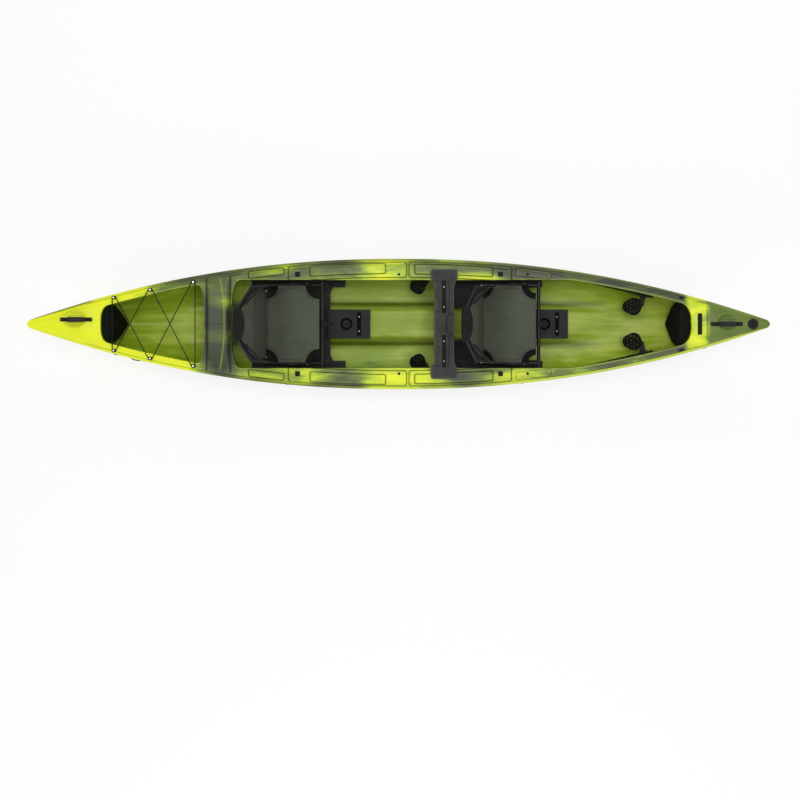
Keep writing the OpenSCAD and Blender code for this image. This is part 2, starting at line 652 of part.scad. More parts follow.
module stern_bungee() {
    path = [for (i = [0 : 5]) let (turn = lace_turn(i), next = lace_turn(i + 1))
        each concat(turn, lace_lift[i] == 0 ? [(turn[4] + next[0]) / 2] :
            [mix(turn[4], next[0], 0.35) + [0, 0, lace_lift[i] * shock_cord * 0.42],
             mix(turn[4], next[0], 0.5) + [0, 0, lace_lift[i] * shock_cord * 0.6],
             mix(turn[4], next[0], 0.65) + [0, 0, lace_lift[i] * shock_cord * 0.42]])];
    color(black_fabric) closed_tube(path, shock_cord / 2, 8, [0, 0, 1]);
}

// Crossbar, seated on the side decks, with two accessory tracks let into its top
thwart_z = sheer(thwart_x) - deck_drop + hull_gap;
thwart_top = thwart_z + thwart_thick;
track_gap = 2 * cockpit_half / 8;
track_middle = track_gap + track_length / 2;
track_pocket = track_height + seat_gap;
module thwart_outline() {
    flare_start = cockpit_half - 10;
    half = thwart_width / 2;
    wide = thwart_flare / 2;
    offset(r = 6) offset(delta = -6) polygon([
        for (q = [[1, 1], [-1, 1], [-1, -1], [1, -1]]) each
            let (run = [[half, flare_start - 25], [wide, flare_start + 12], [wide, thwart_half]],
                 turned = q[0] * q[1] > 0 ? run : flip(run))
            [for (p = turned) [q[0] * p.x, q[1] * p.y]]]);
}
module thwart() {
    color(grey_plastic) translate([thwart_x, 0, thwart_z]) difference() {
        union() {
            linear_extrude(thwart_thick) thwart_outline();
            translate([-thwart_width / 2 + 8, -cockpit_half + 12, -22])
                cube([thwart_width - 16, 2 * cockpit_half - 24, 23]);
        }
        for (s = [-1, 1])
            translate([0, s * track_middle, thwart_thick - track_pocket + track_height])
                cube([track_width + 2 * seat_gap, track_length + 2 * seat_gap, 2 * track_height],
                    center = true);
        translate([thwart_width / 2 - 46, -66, thwart_thick - 3]) cube([60, 132, 10]);
    }
}

// Accessory track with a T slot along Y, its foot at z = 0
track_foot = 2.5;
track_lip = 2;
module track(length) {
    difference() {
        translate([-track_width / 2, -length / 2, 0]) cube([track_width, length, track_height]);
        translate([-track_slot / 2, -length / 2 - 1, track_foot]) cube([track_slot, length + 2,
            track_height]);
        translate([-track_width / 2 + 3, -length / 2 - 1, track_foot])
            cube([track_width - 6, length + 2, track_height - track_foot - track_lip]);
    }
}
thwart_track_z = thwart_top - track_height;
module thwart_tracks() {
    color(black_plastic) for (s = [-1, 1]) translate([thwart_x, s * track_middle, thwart_track_z])
        track(track_length);
}
screw_spread = 0.31;
module thwart_screws() {
    color(steel) for (s = [-1, 1], e = [-1, 1])
        translate([thwart_x, s * track_middle + e * track_length * screw_spread,
            thwart_track_z + track_foot])
            screw_head(4);
}

// Square rubber plugs and round buttons in the side decks
plug_size = 30;
plug_places = [-626, 632];
button_places = [3, 800];
plug_inset = 35;
plug_y = cockpit_half + plug_inset;
module gunwale_plugs() {
    color(black_plastic) for (x = plug_places, s = [-1, 1])
        translate([x, s * plug_y, seat_on(x, plug_y, 15, 15)]) linear_extrude(4)
            offset(r = 4) square(plug_size - 8, center = true);
}
module gunwale_buttons() {
    color(black_plastic) for (x = button_places, s = [-1, 1])
        translate([x, s * plug_y, seat_on(x, plug_y, 8, 8)]) cylinder(h = 5, r = 8);
}

// Foot rails on bosses inside the hull, and the pedals that slide on them
foot_rail_wide = 12;
foot_rail_high = 22;
boss_radius = 9;
mid_rail_inset = 14;
bow_rail_inset = 10;
bow_rail_x = cockpit_fore - bow_rail_setback;
// Half breadth inside the hull's flat panels, between the two nearest stations
function wall_facet(x, z) = let (
    f = (x + hull_end) / (2 * hull_end) * hull_stations,
    i = floor(f),
    a = half_section(mix(-hull_end, hull_end, i / hull_stations), wall),
    b = half_section(mix(-hull_end, hull_end, (i + 1) / hull_stations), wall))
    lookup(z, [for (k = [2 : len(a) - 1]) let (p = mix(a[k], b[k], f - i)) [p.y, p.x]]);
function rail_end(x, z) = side_y(x, z, wall);
function rail_fall(x, len) = (rail_end(x - len / 2, foot_rail_z)
    - rail_end(x + len / 2, foot_rail_z)) / len;
function rail_turn(x, len) = -atan(rail_fall(x, len));
function rail_mid_y(x, len, inset) = (rail_end(x - len / 2, foot_rail_z - 14)
    + rail_end(x + len / 2, foot_rail_z - 14)) / 2 - inset;
module rail_frame(x, len, inset) {
    translate([x, rail_mid_y(x, len, inset), foot_rail_z]) rotate([0, 0, rail_turn(x, len)]) children();
}
module foot_rail(x, len, inset, boss_places) {
    rail_frame(x, len, inset) translate([-len / 2, -foot_rail_wide, -foot_rail_high / 2])
        cube([len, foot_rail_wide, foot_rail_high]);
    for (p = boss_places) let (bx = x + p * len) {
        reach = min([for (a = [0 : 15 : 345])
            wall_facet(bx + boss_radius * cos(a), foot_rail_z + boss_radius * sin(a))]) - hull_gap;
        face = rail_mid_y(x, len, inset) - p * len * rail_fall(x, len);
        translate([bx, reach, foot_rail_z]) rotate([90, 0, 0])
            cylinder(h = reach - face + foot_rail_wide / 2, r = boss_radius);
    }
}
mid_bosses = [-0.165, 0.3];
bow_bosses = [-0.4, 0, 0.4];
module foot_rails() {
    color(black_plastic) for (s = [0, 1]) mirror([0, s, 0]) {
        foot_rail(mid_rail_x, mid_rail_length, mid_rail_inset, mid_bosses);
        foot_rail(bow_rail_x, bow_rail_length, bow_rail_inset, bow_bosses);
    }
}

// Frame on the hull's starboard side: local X runs forward, Y up the side and Z outwards
function side_point(x, z) = [x, -side_y(x, z, 0), z];
function side_frame(x, z) = let (
    forward = direction(side_point(x + 4, z) - side_point(x - 4, z)),
    upward = direction(side_point(x, z + 4) - side_point(x, z - 4)),
    outward = direction(cross(forward, upward)),
    rise = cross(outward, forward),
    p = side_point(x, z))
    [[forward.x, rise.x, outward.x, p.x], [forward.y, rise.y, outward.y, p.y],
     [forward.z, rise.z, outward.z, p.z], [0, 0, 0, 1]];
module on_side(x, z) {
    multmatrix(side_frame(x, z)) children();
}
// The bolt heads sit closer than other fittings, because the hull's side is made of flat panels
bolt_gap = 0.08;
module foot_rail_bolts() {
    places = concat([for (p = mid_bosses) mid_rail_x + p * mid_rail_length],
        [for (p = bow_bosses) bow_rail_x + p * bow_rail_length]);
    color(steel) for (s = [0, 1]) mirror([0, s, 0]) for (x = places)
        on_side(x, foot_rail_z) translate([0, 0, bolt_gap]) screw_head(7);
}
// Screws that close the spare foot rail holes in each side
spare_hole_places = [541, 761];
spare_hole_drop = 19;
module spare_hole_screws() {
    color(steel) for (s = [0, 1]) mirror([0, s, 0]) for (x = spare_hole_places)
        on_side(x, foot_rail_z - spare_hole_drop) translate([0, 0, bolt_gap]) screw_head(7);
}

// A pedal: carriage round the rail, arm, and a tilted egg-shaped pad with drain holes
pad_tilt = 42;
carriage_length = 46;
carriage_wall = 6;
pad_holes = [3, 4, 4, 3];
pad_back = 55;
module pad_outline() {
    scale([1, 1]) hull() {
        translate([0, pad_length / 2 - pad_width / 2]) circle(pad_width / 2, $fn = 40);
        translate([0, -pad_length / 2 + pad_width * 0.34]) circle(pad_width * 0.34, $fn = 40);
    }
}
module pedal_pad() {
    difference() {
        linear_extrude(pad_thick) pad_outline();
        for (r = [0 : 3], c = [0 : pad_holes[r] - 1])
            translate([(c - (pad_holes[r] - 1) / 2) * 22, (r - 1.4) * 24,
                -1]) cylinder(h = pad_thick + 2, r = 5);
    }
}
// Cranked arm in plan, from the carriage inwards and then back to the pad
module pedal_arm(pad_in) {
    polygon([[-15, 0], [15, 0], [17, 22 - pad_in], [-8, -12 - pad_in], [-pad_back, -9 - pad_in],
        [-pad_back, 9 - pad_in], [-22, 16 - pad_in], [-15, 32 - pad_in]]);
}
module pedal(x, len, inset, pad_in, pad_z, pedal_x) {
    along_rail = pedal_x - x;
    rail_frame(x, len, inset) translate([along_rail, 0, 0]) {
        difference() {
            translate([-carriage_length / 2, -foot_rail_wide - seat_gap - carriage_wall,
                -foot_rail_high / 2 - seat_gap - carriage_wall])
                cube([carriage_length, foot_rail_wide + carriage_wall + seat_gap - 1.5,
                    foot_rail_high + 2 * (seat_gap + carriage_wall)]);
            translate([-carriage_length, -foot_rail_wide - seat_gap, -foot_rail_high / 2 - seat_gap])
                cube([2 * carriage_length, foot_rail_wide + 20, foot_rail_high + 2 * seat_gap]);
        }
        translate([0, -foot_rail_wide - carriage_wall, -8]) linear_extrude(16) pedal_arm(pad_in);
        translate([-pad_back, -foot_rail_wide - carriage_wall - pad_in, pad_z])
            rotate([0, 0, -rail_turn(x, len)]) rotate([0, pad_tilt - 90, 0]) rotate([0, 0, -90])
                translate([0, 0, -pad_thick / 2]) pedal_pad();
    }
}
mid_pedal_back = 36;
bow_pedal_ahead = 179;
mid_pedal_x = mid_rail_x - mid_pedal_back;
bow_pedal_x = bow_rail_x + bow_pedal_ahead;
mid_pad_in = 108;
bow_pad_in = 76;
module mid_pedal() {
    color(black_plastic) pedal(mid_rail_x, mid_rail_length, mid_rail_inset, mid_pad_in, 0, mid_pedal_x);
}
module bow_pedal() {
    color(black_plastic) pedal(bow_rail_x, bow_rail_length, bow_rail_inset, bow_pad_in, 8, bow_pedal_x);
}
module port_mid_pedal() {
    mid_pedal();
}
module starboard_mid_pedal() {
    mirror([0, 1, 0]) mid_pedal();
}
module port_bow_pedal() {
    bow_pedal();
}
module starboard_bow_pedal() {
    mirror([0, 1, 0]) bow_pedal();
}

// Seat base: U-shaped plate over the tunnel with slide rails, feet in the sponson channels and a console
base_z = floor_level + seat_gap;
base_top = base_z + base_plate;
plate_length = base_length - 98;
plate_inner = 105;
horn_width = 45;
slide_rail_width = 14;
slide_rail_height = 12;
front_base_x = rear_base_x + base_pitch;
console_aft = plate_length;
console_fore = console_aft + console_length;
cup_x = console_aft + 106;
console_track_x = console_aft + 187;
console_track_length = 150;
module base_outline() {
    offset(r = -14) offset(delta = 14) polygon(concat(
        [[0, -base_half], [base_length, -base_half], [base_length, -base_half + horn_width],
         [base_length - 82, -base_half + horn_width], [plate_length, -base_half + horn_width + 40],
         [plate_length, base_half - horn_width - 40], [base_length - 82, base_half - horn_width],
         [base_length, base_half - horn_width], [base_length, base_half], [0, base_half],
         [0, plate_inner], [plate_length - 174, plate_inner], [plate_length - 174, -plate_inner],
         [0, -plate_inner]]));
}
module base_foot(x, at, y) {
    ground = max([for (dx = [-15, 15], dy = [-12, 12]) floor_z(x + at + dx, y + dy)]) + hull_gap;
    for (s = [-1, 1]) translate([at - 15, s * y - 12, ground - base_z]) cube([30, 24, base_z - ground + 1]);
}
module seat_base(x) {
    translate([x, 0, base_z]) difference() {
        union() {
            linear_extrude(base_plate) base_outline();
            translate([console_aft - 10, -console_half, 0]) cube([console_length + 10, 2 * console_half,
                console_height]);
            for (s = [-1, 1]) translate([0, s * seat_half - slide_rail_width / 2, base_plate - 1])
                cube([base_length, slide_rail_width, slide_rail_height + 1]);
            base_foot(x, 40, 200);
            base_foot(x, plate_length - 40, 200);
            translate([cup_x, 0, console_height - 1]) cylinder(h = 5, r = cup_radius + 9);
        }
        translate([cup_x, 0, console_height - cup_depth + 4]) cylinder(h = cup_depth + 10, r = cup_radius);
        translate([console_track_x, 0, console_height - track_pocket + track_height])
            cube([track_width + 2 * seat_gap, console_track_length + 2 * seat_gap, 2 * track_height],
                center = true);
    }
}
module rear_seat_base() {
    color(black_plastic) seat_base(rear_base_x);
}
module front_seat_base() {
    color(black_plastic) seat_base(front_base_x);
}
console_track_z = base_z + console_height - track_height;
module console_tracks() {
    color(black_plastic) for (x = [rear_base_x, front_base_x])
        translate([x + console_track_x, 0, console_track_z]) track(console_track_length);
}
module console_screws() {
    color(steel) for (x = [rear_base_x, front_base_x], e = [-1, 1])
        translate([x + console_track_x, e * console_track_length * screw_spread,
            console_track_z + track_foot])
            screw_head(4);
}

// Seat frame in the seat's own place: x = 0 at the hinge
front_seat_x = rear_seat_x + seat_pitch;
rear_tube_x = -15;
front_tube_x = rear_tube_x + seat_depth;
hinge_z = seat_rear_z + hinge_rise;
shoe_length = 40;
shoe_wall = 7;
leg_radius = 9;
bracket_in = seat_half - 15;
bracket_thick = 6;
lug_thick = 22;
strap_end_y = seat_half + 16;
front_fitting = 13;
lower_strap_x = 262;
lower_strap_in = 4;
strap_slack = 1.9;
lower_strap_z = seat_front_z + 10;
lower_fitting = strap_end_y - lower_strap_in - strap_slack;
function tube_z(x) = mix(seat_rear_z, seat_front_z, (x - rear_tube_x) / seat_depth);
module at_hinge(y, thick) {
    translate([0, y + thick, hinge_z]) rotate([90, 0, 0]) linear_extrude(thick) children();
}
module seat_leg(x, s) {
    bar([x, s * seat_half, base_top + slide_rail_height + 4], [x, s * seat_half, tube_z(x)], leg_radius);
    translate([x, s * seat_half, base_top + seat_gap]) difference() {
        translate([-shoe_length / 2, -slide_rail_width / 2 - shoe_wall, 0])
            cube([shoe_length, slide_rail_width + 2 * shoe_wall, slide_rail_height + 10]);
        translate([-shoe_length, -slide_rail_width / 2 - seat_gap, -1])
            cube([2 * shoe_length, slide_rail_width + 2 * seat_gap, slide_rail_height + 1]);
    }
}
module seat_frame(x) {
    translate([x, 0, 0]) difference() {
        union() {
            for (s = [-1, 1]) {
                bar([rear_tube_x, s * seat_half, seat_rear_z],
                    [front_tube_x, s * seat_half, seat_front_z], seat_tube);
                for (e = [[rear_tube_x, seat_rear_z], [front_tube_x, seat_front_z]])
                    translate([e[0], s * seat_half, e[1]]) sphere(seat_tube + 2);
                seat_leg(rear_tube_x, s);
                seat_leg(front_tube_x, s);
                translate([0, s > 0 ? 0 : -2 * bracket_in - bracket_thick, 0]) at_hinge(bracket_in,
                    bracket_thick)
                    hull() {
                        circle(16);
                        translate([rear_tube_x + 10, -hinge_rise + 6]) circle(12);
                    }
                translate([lower_strap_x - 8, s > 0 ? seat_half : -lower_fitting, tube_z(lower_strap_x)])
                    cube([16, lower_fitting - seat_half, 34]);
                translate([front_tube_x, s * seat_half, seat_front_z]) rotate([-90 * s, 0, 0])
                    cylinder(h = strap_end_y - seat_half, r = front_fitting);
            }
            bar([rear_tube_x, -seat_half, seat_rear_z], [rear_tube_x, seat_half, seat_rear_z], seat_tube);
            bar([front_tube_x, -seat_half, seat_front_z], [front_tube_x, seat_half, seat_front_z],
                seat_tube);
        }
        for (s = [0, 1]) mirror([0, s, 0]) translate([0, bracket_in - 1, hinge_z]) rotate([-90, 0, 0])
            cylinder(h = 16, r = hinge_bolt + pin_gap);
    }
}
module rear_seat_frame() {
    color(black_plastic) seat_frame(rear_seat_x);
}
module front_seat_frame() {
    color(black_plastic) seat_frame(front_seat_x);
}

// Fabric pan: a padded sheet over the tubes with notched corners, sagging in the middle
pan_aft = 5;
pan_fore = front_tube_x - 17;
pan_notch = 66;
pan_sag = 14;
pan_rows = 12;
pan_columns = 12;
function pan_half(x) = seat_half - 3 - max(0, pan_notch - (x - pan_aft), pan_notch - (pan_fore - x));
function pan_point(x, v, lift) = let (edge = 1 - pow(abs(v), 4),
    swell = 1 - pow(abs(2 * unit((x - pan_aft) / (pan_fore - pan_aft)) - 1), 4))
    [x, v * pan_half(x), tube_z(x) + seat_tube + seat_gap - (lift == 0 ? pan_sag : pan_sag - 3) * edge * swell
        + lift * mix(0.45, 1, edge * swell)];
module seat_pan(x) {
    xs = [for (i = [0 : pan_rows]) mix(pan_aft, pan_fore, i / pan_rows)];
    vs = [for (j = [0 : pan_columns]) 1 - 2 * j / pan_columns];
    columns = pan_columns + 1;
    count = (pan_rows + 1) * columns;
    points = concat([for (u = xs, v = vs) pan_point(u, v, 0)],
        [for (u = xs, v = vs) pan_point(u, v, sling_thick)]);
    faces = concat(grid_faces(pan_rows + 1, columns, 0),
        [for (f = grid_faces(pan_rows + 1, columns, count)) flip(f)],
        [for (i = [0 : pan_rows - 1], e = [0, pan_columns]) let (a = i * columns + e, b = a + columns)
            each (e == 0 ? [[a, a + count, b + count], [a, b + count, b]] : [[a, b + count, a + count],
                [a, b, b + count]])],
        [for (j = [0 : pan_columns - 1], e = [0, pan_rows]) let (a = e * columns + j, b = a + 1)
            each (e == 0 ? [[a, b + count, a + count], [a, b, b + count]] : [[a, a + count, b + count],
                [a, b + count, b]])]);
    translate([x, 0, 0]) closed_mesh(points, faces);
}
module rear_seat_pan() {
    color(grey_fabric) seat_pan(rear_seat_x);
}
module front_seat_pan() {
    color(grey_fabric) seat_pan(front_seat_x);
}

// Back frame: two uprights on hinge lugs, sloping corners and a short top bar
back_half = bracket_in - lug_thick / 2 - seat_gap;
corner_up = back_height - 63;
shoulder_x = -tan(back_lean) * corner_up;
top_x = shoulder_x - 66;
top_half = 92;
top_up = back_height + 35;
module back_frame(x) {
    translate([x, 0, hinge_z]) difference() {
        union() {
            for (s = [-1, 1]) {
                bar([0, s * back_half, 0], [shoulder_x, s * back_half, corner_up], back_tube);
                bar([shoulder_x, s * back_half, corner_up], [top_x, s * top_half, top_up], back_tube);
                translate([shoulder_x, s * back_half, corner_up]) sphere(back_tube + 1.5);
                translate([top_x, s * top_half, top_up]) sphere(back_tube + 1.5);
                translate([0, s * (bracket_in - seat_gap), 0]) rotate([90 * s, 0, 0])
                    cylinder(h = lug_thick, r = 16);
            }
            bar([top_x, -top_half, top_up], [top_x, top_half, top_up], back_tube);
        }
        for (s = [0, 1]) mirror([0, s, 0]) translate([0, bracket_in - lug_thick - 5, 0]) rotate([-90, 0, 0])
            cylinder(h = lug_thick + 8, r = hinge_bolt + pin_gap);
    }
}
module rear_back_frame() {
    color(black_plastic) back_frame(rear_seat_x);
}
module front_back_frame() {
    color(black_plastic) back_frame(front_seat_x);
}

module hinge_bolts(x) {
    for (s = [0, 1]) mirror([0, s, 0]) translate([x, bracket_in - seat_gap - lug_thick, hinge_z]) {
        translate([0, -seat_gap, 0]) rotate([90, 0, 0]) cylinder(h = 4, r = hinge_bolt + 3);
        translate([0, -seat_gap, 0]) rotate([-90, 0, 0]) cylinder(h = lug_thick + 14, r = hinge_bolt);
    }
}
module rear_hinge_bolts() {
    color(steel) hinge_bolts(rear_seat_x);
}
module front_hinge_bolts() {
    color(steel) hinge_bolts(front_seat_x);
}

// Fabric back: a padded sheet in front of the uprights, bowed back between them
back_low = 46;
back_top = corner_up + 52;
back_bow = 20;
back_rows = 12;
back_columns = 12;
function upright_x(up) = shoulder_x * min(1, up / corner_up) 
    - 66 * max(0, up - corner_up) / (top_up - corner_up);
function back_width(up) = back_half + 6
    - max(0, up - corner_up + 12) * (back_half - top_half) / (top_up - corner_up);
function back_point(up, v, lift) = let (edge = 1 - pow(abs(v), 3),
    t = (up - back_low) / (back_top - back_low))
    [upright_x(up) + back_tube + seat_gap + 2.5 - back_bow * edge * sin(180 * unit(t)) + lift
        * mix(0.5, 1, edge),
     v * back_width(up), up];
module back_sling(x) {
    ups = [for (i = [0 : back_rows]) mix(back_low, back_top, i / back_rows)];
    vs = [for (j = [0 : back_columns]) 1 - 2 * j / back_columns];
    columns = back_columns + 1;
    count = (back_rows + 1) * columns;
    points = concat([for (u = ups, v = vs) back_point(u, v, sling_thick)],
        [for (u = ups, v = vs) back_point(u, v, 0)]);
    faces = concat([for (f = grid_faces(back_rows + 1, columns, 0)) flip(f)],
        grid_faces(back_rows + 1, columns, count),
        [for (i = [0 : back_rows - 1], e = [0, back_columns]) let (a = i * columns + e, b = a + columns)
            each (e == 0 ? [[a, b + count, a + count], [a, b, b + count]] : [[a, a + count, b + count],
                [a, b + count, b]])],
        [for (j = [0 : back_columns - 1], e = [0, back_rows]) let (a = e * columns + j, b = a + 1)
            each (e == 0 ? [[a, a + count, b + count], [a, b + count, b]] : [[a, b + count, a + count],
                [a, b, b + count]])]);
    translate([x, 0, hinge_z]) closed_mesh(points, faces);
}
module rear_back_sling() {
    color(grey_fabric) back_sling(rear_seat_x);
}
module front_back_sling() {
    color(grey_fabric) back_sling(front_seat_x);
}

// Side wings of the back: fabric panels that reach forward from the uprights
wing_thick = 5;
wing_in = back_half + 6 + seat_gap + 0.2;
wing_front = [[upright_x(55) + 14, 55], [62, 95], [74, 175], [63, 252], [44, 286], [8, 300]];
module back_wings(x) {
    for (s = [0, 1]) mirror([0, s, 0]) translate([x, wing_in + wing_thick, hinge_z]) rotate([90, 0, 0])
        linear_extrude(wing_thick) polygon(concat(wing_front,
            [for (up = [corner_up - 4, 160, 56]) [upright_x(up) + back_tube + 3, up]]));
}
module rear_back_wings() {
    color(black_fabric) back_wings(rear_seat_x);
}
module front_back_wings() {
    color(black_fabric) back_wings(front_seat_x);
}

// Head pad sleeved over the top bar
pad_half = 76;
module head_pad(x) {
    translate([x + top_x, 0, hinge_z + top_up]) difference() {
        hull() for (p = [[-16, 8, 17], [8, -14, 18], [30, 4, 11]])
            translate([p[0], 0, p[1]]) rotate([90, 0, 0]) cylinder(h = 2 * pad_half, r = p[2],
                center = true, $fn = 32);
        rotate([90, 0, 0]) cylinder(h = 2 * pad_half + 2, r = back_tube + seat_gap, center = true);
    }
}
module rear_head_pad() {
    color(black_fabric) head_pad(rear_seat_x);
}
module front_head_pad() {
    color(black_fabric) head_pad(front_seat_x);
}

// Adjustment straps from the wings to the seat frame, the upper ones with a buckle
ribbon_thick = 2.5;
buckle = [34, 40];
buckle_thick = 7;
function ribbon(a, b, w, t) = let (d = direction([b.x - a.x, 0, b.z - a.z]), n = [-d.z, 0, d.x] * w / 2)
    [for (p = [a, b], q = [-1, 1], r = [0, 1]) p + q * n + [0, r * t, 0]];
ribbon_faces = [[2, 3, 1, 0], [5, 7, 6, 4], [4, 6, 2, 0], [3, 7, 5, 1], [1, 5, 4, 0], [6, 7, 3, 2]];
module ribbon_strap(a, b, w, t) {
    points = ribbon(a, b, w, t);
    closed_mesh(points, [for (f = ribbon_faces) each [[f[0], f[1], f[2]], [f[0], f[2], f[3]]]]);
}
strap_in = wing_in + wing_thick + seat_gap;
upper_strap_start = [50, 240];
lower_strap_start = [68, 130];
upper_strap_end = [4, 12];
module seat_straps(x) {
    upper_a = [upper_strap_start.x, strap_in, hinge_z + upper_strap_start.y];
    upper_b = [front_tube_x - upper_strap_end.x, strap_end_y + seat_gap, seat_front_z + upper_strap_end.y];
    lower_a = [lower_strap_start.x, strap_in, hinge_z + lower_strap_start.y];
    lower_b = [lower_strap_x, strap_end_y - lower_strap_in + seat_gap, lower_strap_z];
    for (s = [0, 1]) mirror([0, s, 0]) translate([x, 0, 0]) {
        ribbon_strap(upper_a, upper_b, strap_width, ribbon_thick);
        ribbon_strap(mix(upper_a, upper_b, 0.36) - [0, 2, 0], mix(upper_a, upper_b, 0.48) - [0, 2, 0],
            buckle[0], buckle_thick);
        ribbon_strap(lower_a, lower_b, strap_width, ribbon_thick);
    }
}
module rear_seat_straps() {
    color(black_fabric) seat_straps(rear_seat_x);
}
module front_seat_straps() {
    color(black_fabric) seat_straps(front_seat_x);
}

// Anchor trolley: places along the starboard side
eye_x = -half_len + trolley_eye_setback;
stern_block_x = -half_len + trolley_stern_setback;
bow_block_x = half_len - trolley_bow_setback;
ring_x = -half_len + trolley_ring_setback;
fairlead_places = [-692, 773];
cheek = 2;
sheave_width = 8;
sheave_bore = 2;
block_offset = cheek + seat_gap + sheave_width / 2 + hull_gap;
line_offset = 4.2;
eye_post = 8;
becket_x = -28;
function line_z(x) = seam(x) - trolley_drop;
function line_reach(x) = mix(line_offset, block_offset, ease((abs(x) - 1000) / 600));
function frame_point(m, p) = [for (r = [0 : 2]) m[r][0] * p.x + m[r][1] * p.y + m[r][2] * p.z + m[r][3]];
module at_line(x) {
    on_side(x, line_z(x)) children();
}
module trolley_sheave(x) {
    at_line(x) translate([0, 0, block_offset - sheave_width / 2]) difference() {
        cylinder(h = sheave_width, r = sheave_pitch + 1);
        rotate_extrude() translate([sheave_pitch + seat_gap / 2,
            sheave_width / 2]) circle(line_cord / 2 + seat_gap);
        translate([0, 0, -1]) cylinder(h = sheave_width + 2, r = sheave_bore + pin_gap);
    }
}
module trolley_cheeks(x, tail) {
    at_line(x) {
        for (z = [hull_gap, block_offset + sheave_width / 2 + seat_gap]) translate([0, 0, z])
            linear_extrude(cheek) hull() {
                circle(sheave_pitch + 3);
                translate([tail, 0]) circle(eye_post);
            }
        translate([0, 0, hull_gap]) cylinder(h = sheave_width + 2 * cheek + 2 * seat_gap, r = sheave_bore);
        translate([tail, 0, hull_gap]) cylinder(h = sheave_width + 2 * cheek + 2 * seat_gap,
            r = eye_post - 2);
    }
}
module trolley_stern_block() {
    color(black_plastic) trolley_cheeks(stern_block_x, becket_x);
}
module trolley_bow_block() {
    color(black_plastic) trolley_cheeks(bow_block_x, 24);
}
module trolley_stern_sheave() {
    color(grey_plastic) trolley_sheave(stern_block_x);
}
module trolley_bow_sheave() {
    color(grey_plastic) trolley_sheave(bow_block_x);
}
module trolley_eye() {
    color(black_plastic) at_line(eye_x) {
        translate([0, 0, hull_gap]) cylinder(h = 3, r = eye_post + 6);
        translate([0, 0, hull_gap]) cylinder(h = 11, r = eye_post - 2);
        translate([0, 0, 11]) cylinder(h = 3, r = eye_post + 4);
    }
}
trolley_screw_z = 14;
module trolley_screws() {
    color(steel) {
        at_line(eye_x) translate([0, 0, trolley_screw_z]) screw_head(5);
        at_line(bow_block_x) translate([24, 0, hull_gap + sheave_width + 2 * cheek + 2 * seat_gap])
            screw_head(5);
        for (x = fairlead_places) at_line(x) translate([0, 0, hull_gap + fairlead_plate]) screw_head(5);
    }
}

// Half turn of cord round a post, in a frame on the hull's side
function half_turn(m, r, z, from, to, steps) = [for (i = [0 : steps]) let (a = mix(from, to, i / steps))
    frame_point(m, [r * cos(a), r * sin(a), z])];
module trolley_shock_loop() {
    eye = side_frame(eye_x, line_z(eye_x));
    block = side_frame(stern_block_x, line_z(stern_block_x));
    r = eye_post - 2 + line_cord / 2 + seat_gap;
    aft = half_turn(eye, r, block_offset, 90, 270, 10);
    fore = [for (p = half_turn(block, r, block_offset, -90, 90, 10))
        p + frame_point(block, [becket_x, 0, 0]) - frame_point(block, [0, 0, 0])];
    color(black_fabric) closed_tube(concat(aft, fore), line_cord / 2, 8, [0, 1, 0]);
}
line_steps = 44;
turn_steps = 16;
function line_run(a, b, lift) = [for (i = [1 : line_steps - 1]) let (x = mix(a, b, i / line_steps),
    z = line_z(x) + lift)
    [x, -side_y(x, z, 0) - line_reach(x), z]];
module trolley_line() {
    bow = side_frame(bow_block_x, line_z(bow_block_x));
    stern = side_frame(stern_block_x, line_z(stern_block_x));
    path = concat(half_turn(bow, sheave_pitch, block_offset, -90, 90, turn_steps),
        line_run(bow_block_x, stern_block_x, sheave_pitch),
        half_turn(stern, sheave_pitch, block_offset, 90, 270, turn_steps),
        line_run(stern_block_x, bow_block_x, -sheave_pitch));
    color(black_fabric) closed_tube(path, line_cord / 2, 8, [0, 1, 0]);
}

// Fairleads that guide both runs of the line
fairlead_plate = 3;
fairlead_eye = line_cord / 2 + 1.6;
module trolley_fairleads() {
    color(black_plastic) for (x = fairlead_places) at_line(x) {
        translate([-15, -sheave_pitch - 8, hull_gap]) cube([30, 2 * sheave_pitch + 16, 1]);
        translate([-9, -6, hull_gap]) cube([18, 12, fairlead_plate]);
        for (s = [-1, 1]) translate([0, s * sheave_pitch, line_offset]) rotate([0, 90, 0]) difference() {
            cylinder(h = 14, r = fairlead_eye + 2.2, center = true);
            cylinder(h = 16, r = fairlead_eye, center = true);
            translate([line_offset - hull_gap, -20, -20]) cube([40, 40, 40]);
        }
    }
}

// Ring tied to the line, lying outside both runs, with its knot and tail
ring_stand = block_offset + line_cord / 2 + seat_gap + ring_wire / 2;
module trolley_ring() {
    color(black_fabric) at_line(ring_x) translate([0, 0, ring_stand]) {
        translate([0, -10, 0]) rotate_extrude() translate([ring_size / 2 - ring_wire / 2,
            0]) circle(ring_wire / 2);
        bar([ring_size / 2 - 6, -sheave_pitch, 0], [ring_size / 2 + 36, -sheave_pitch, 0], ring_wire / 2);
        bar([ring_size / 2 + 34, -sheave_pitch, 0], [ring_size / 2 + 44, -sheave_pitch - 24, 0],
            ring_wire / 3);
    }
}

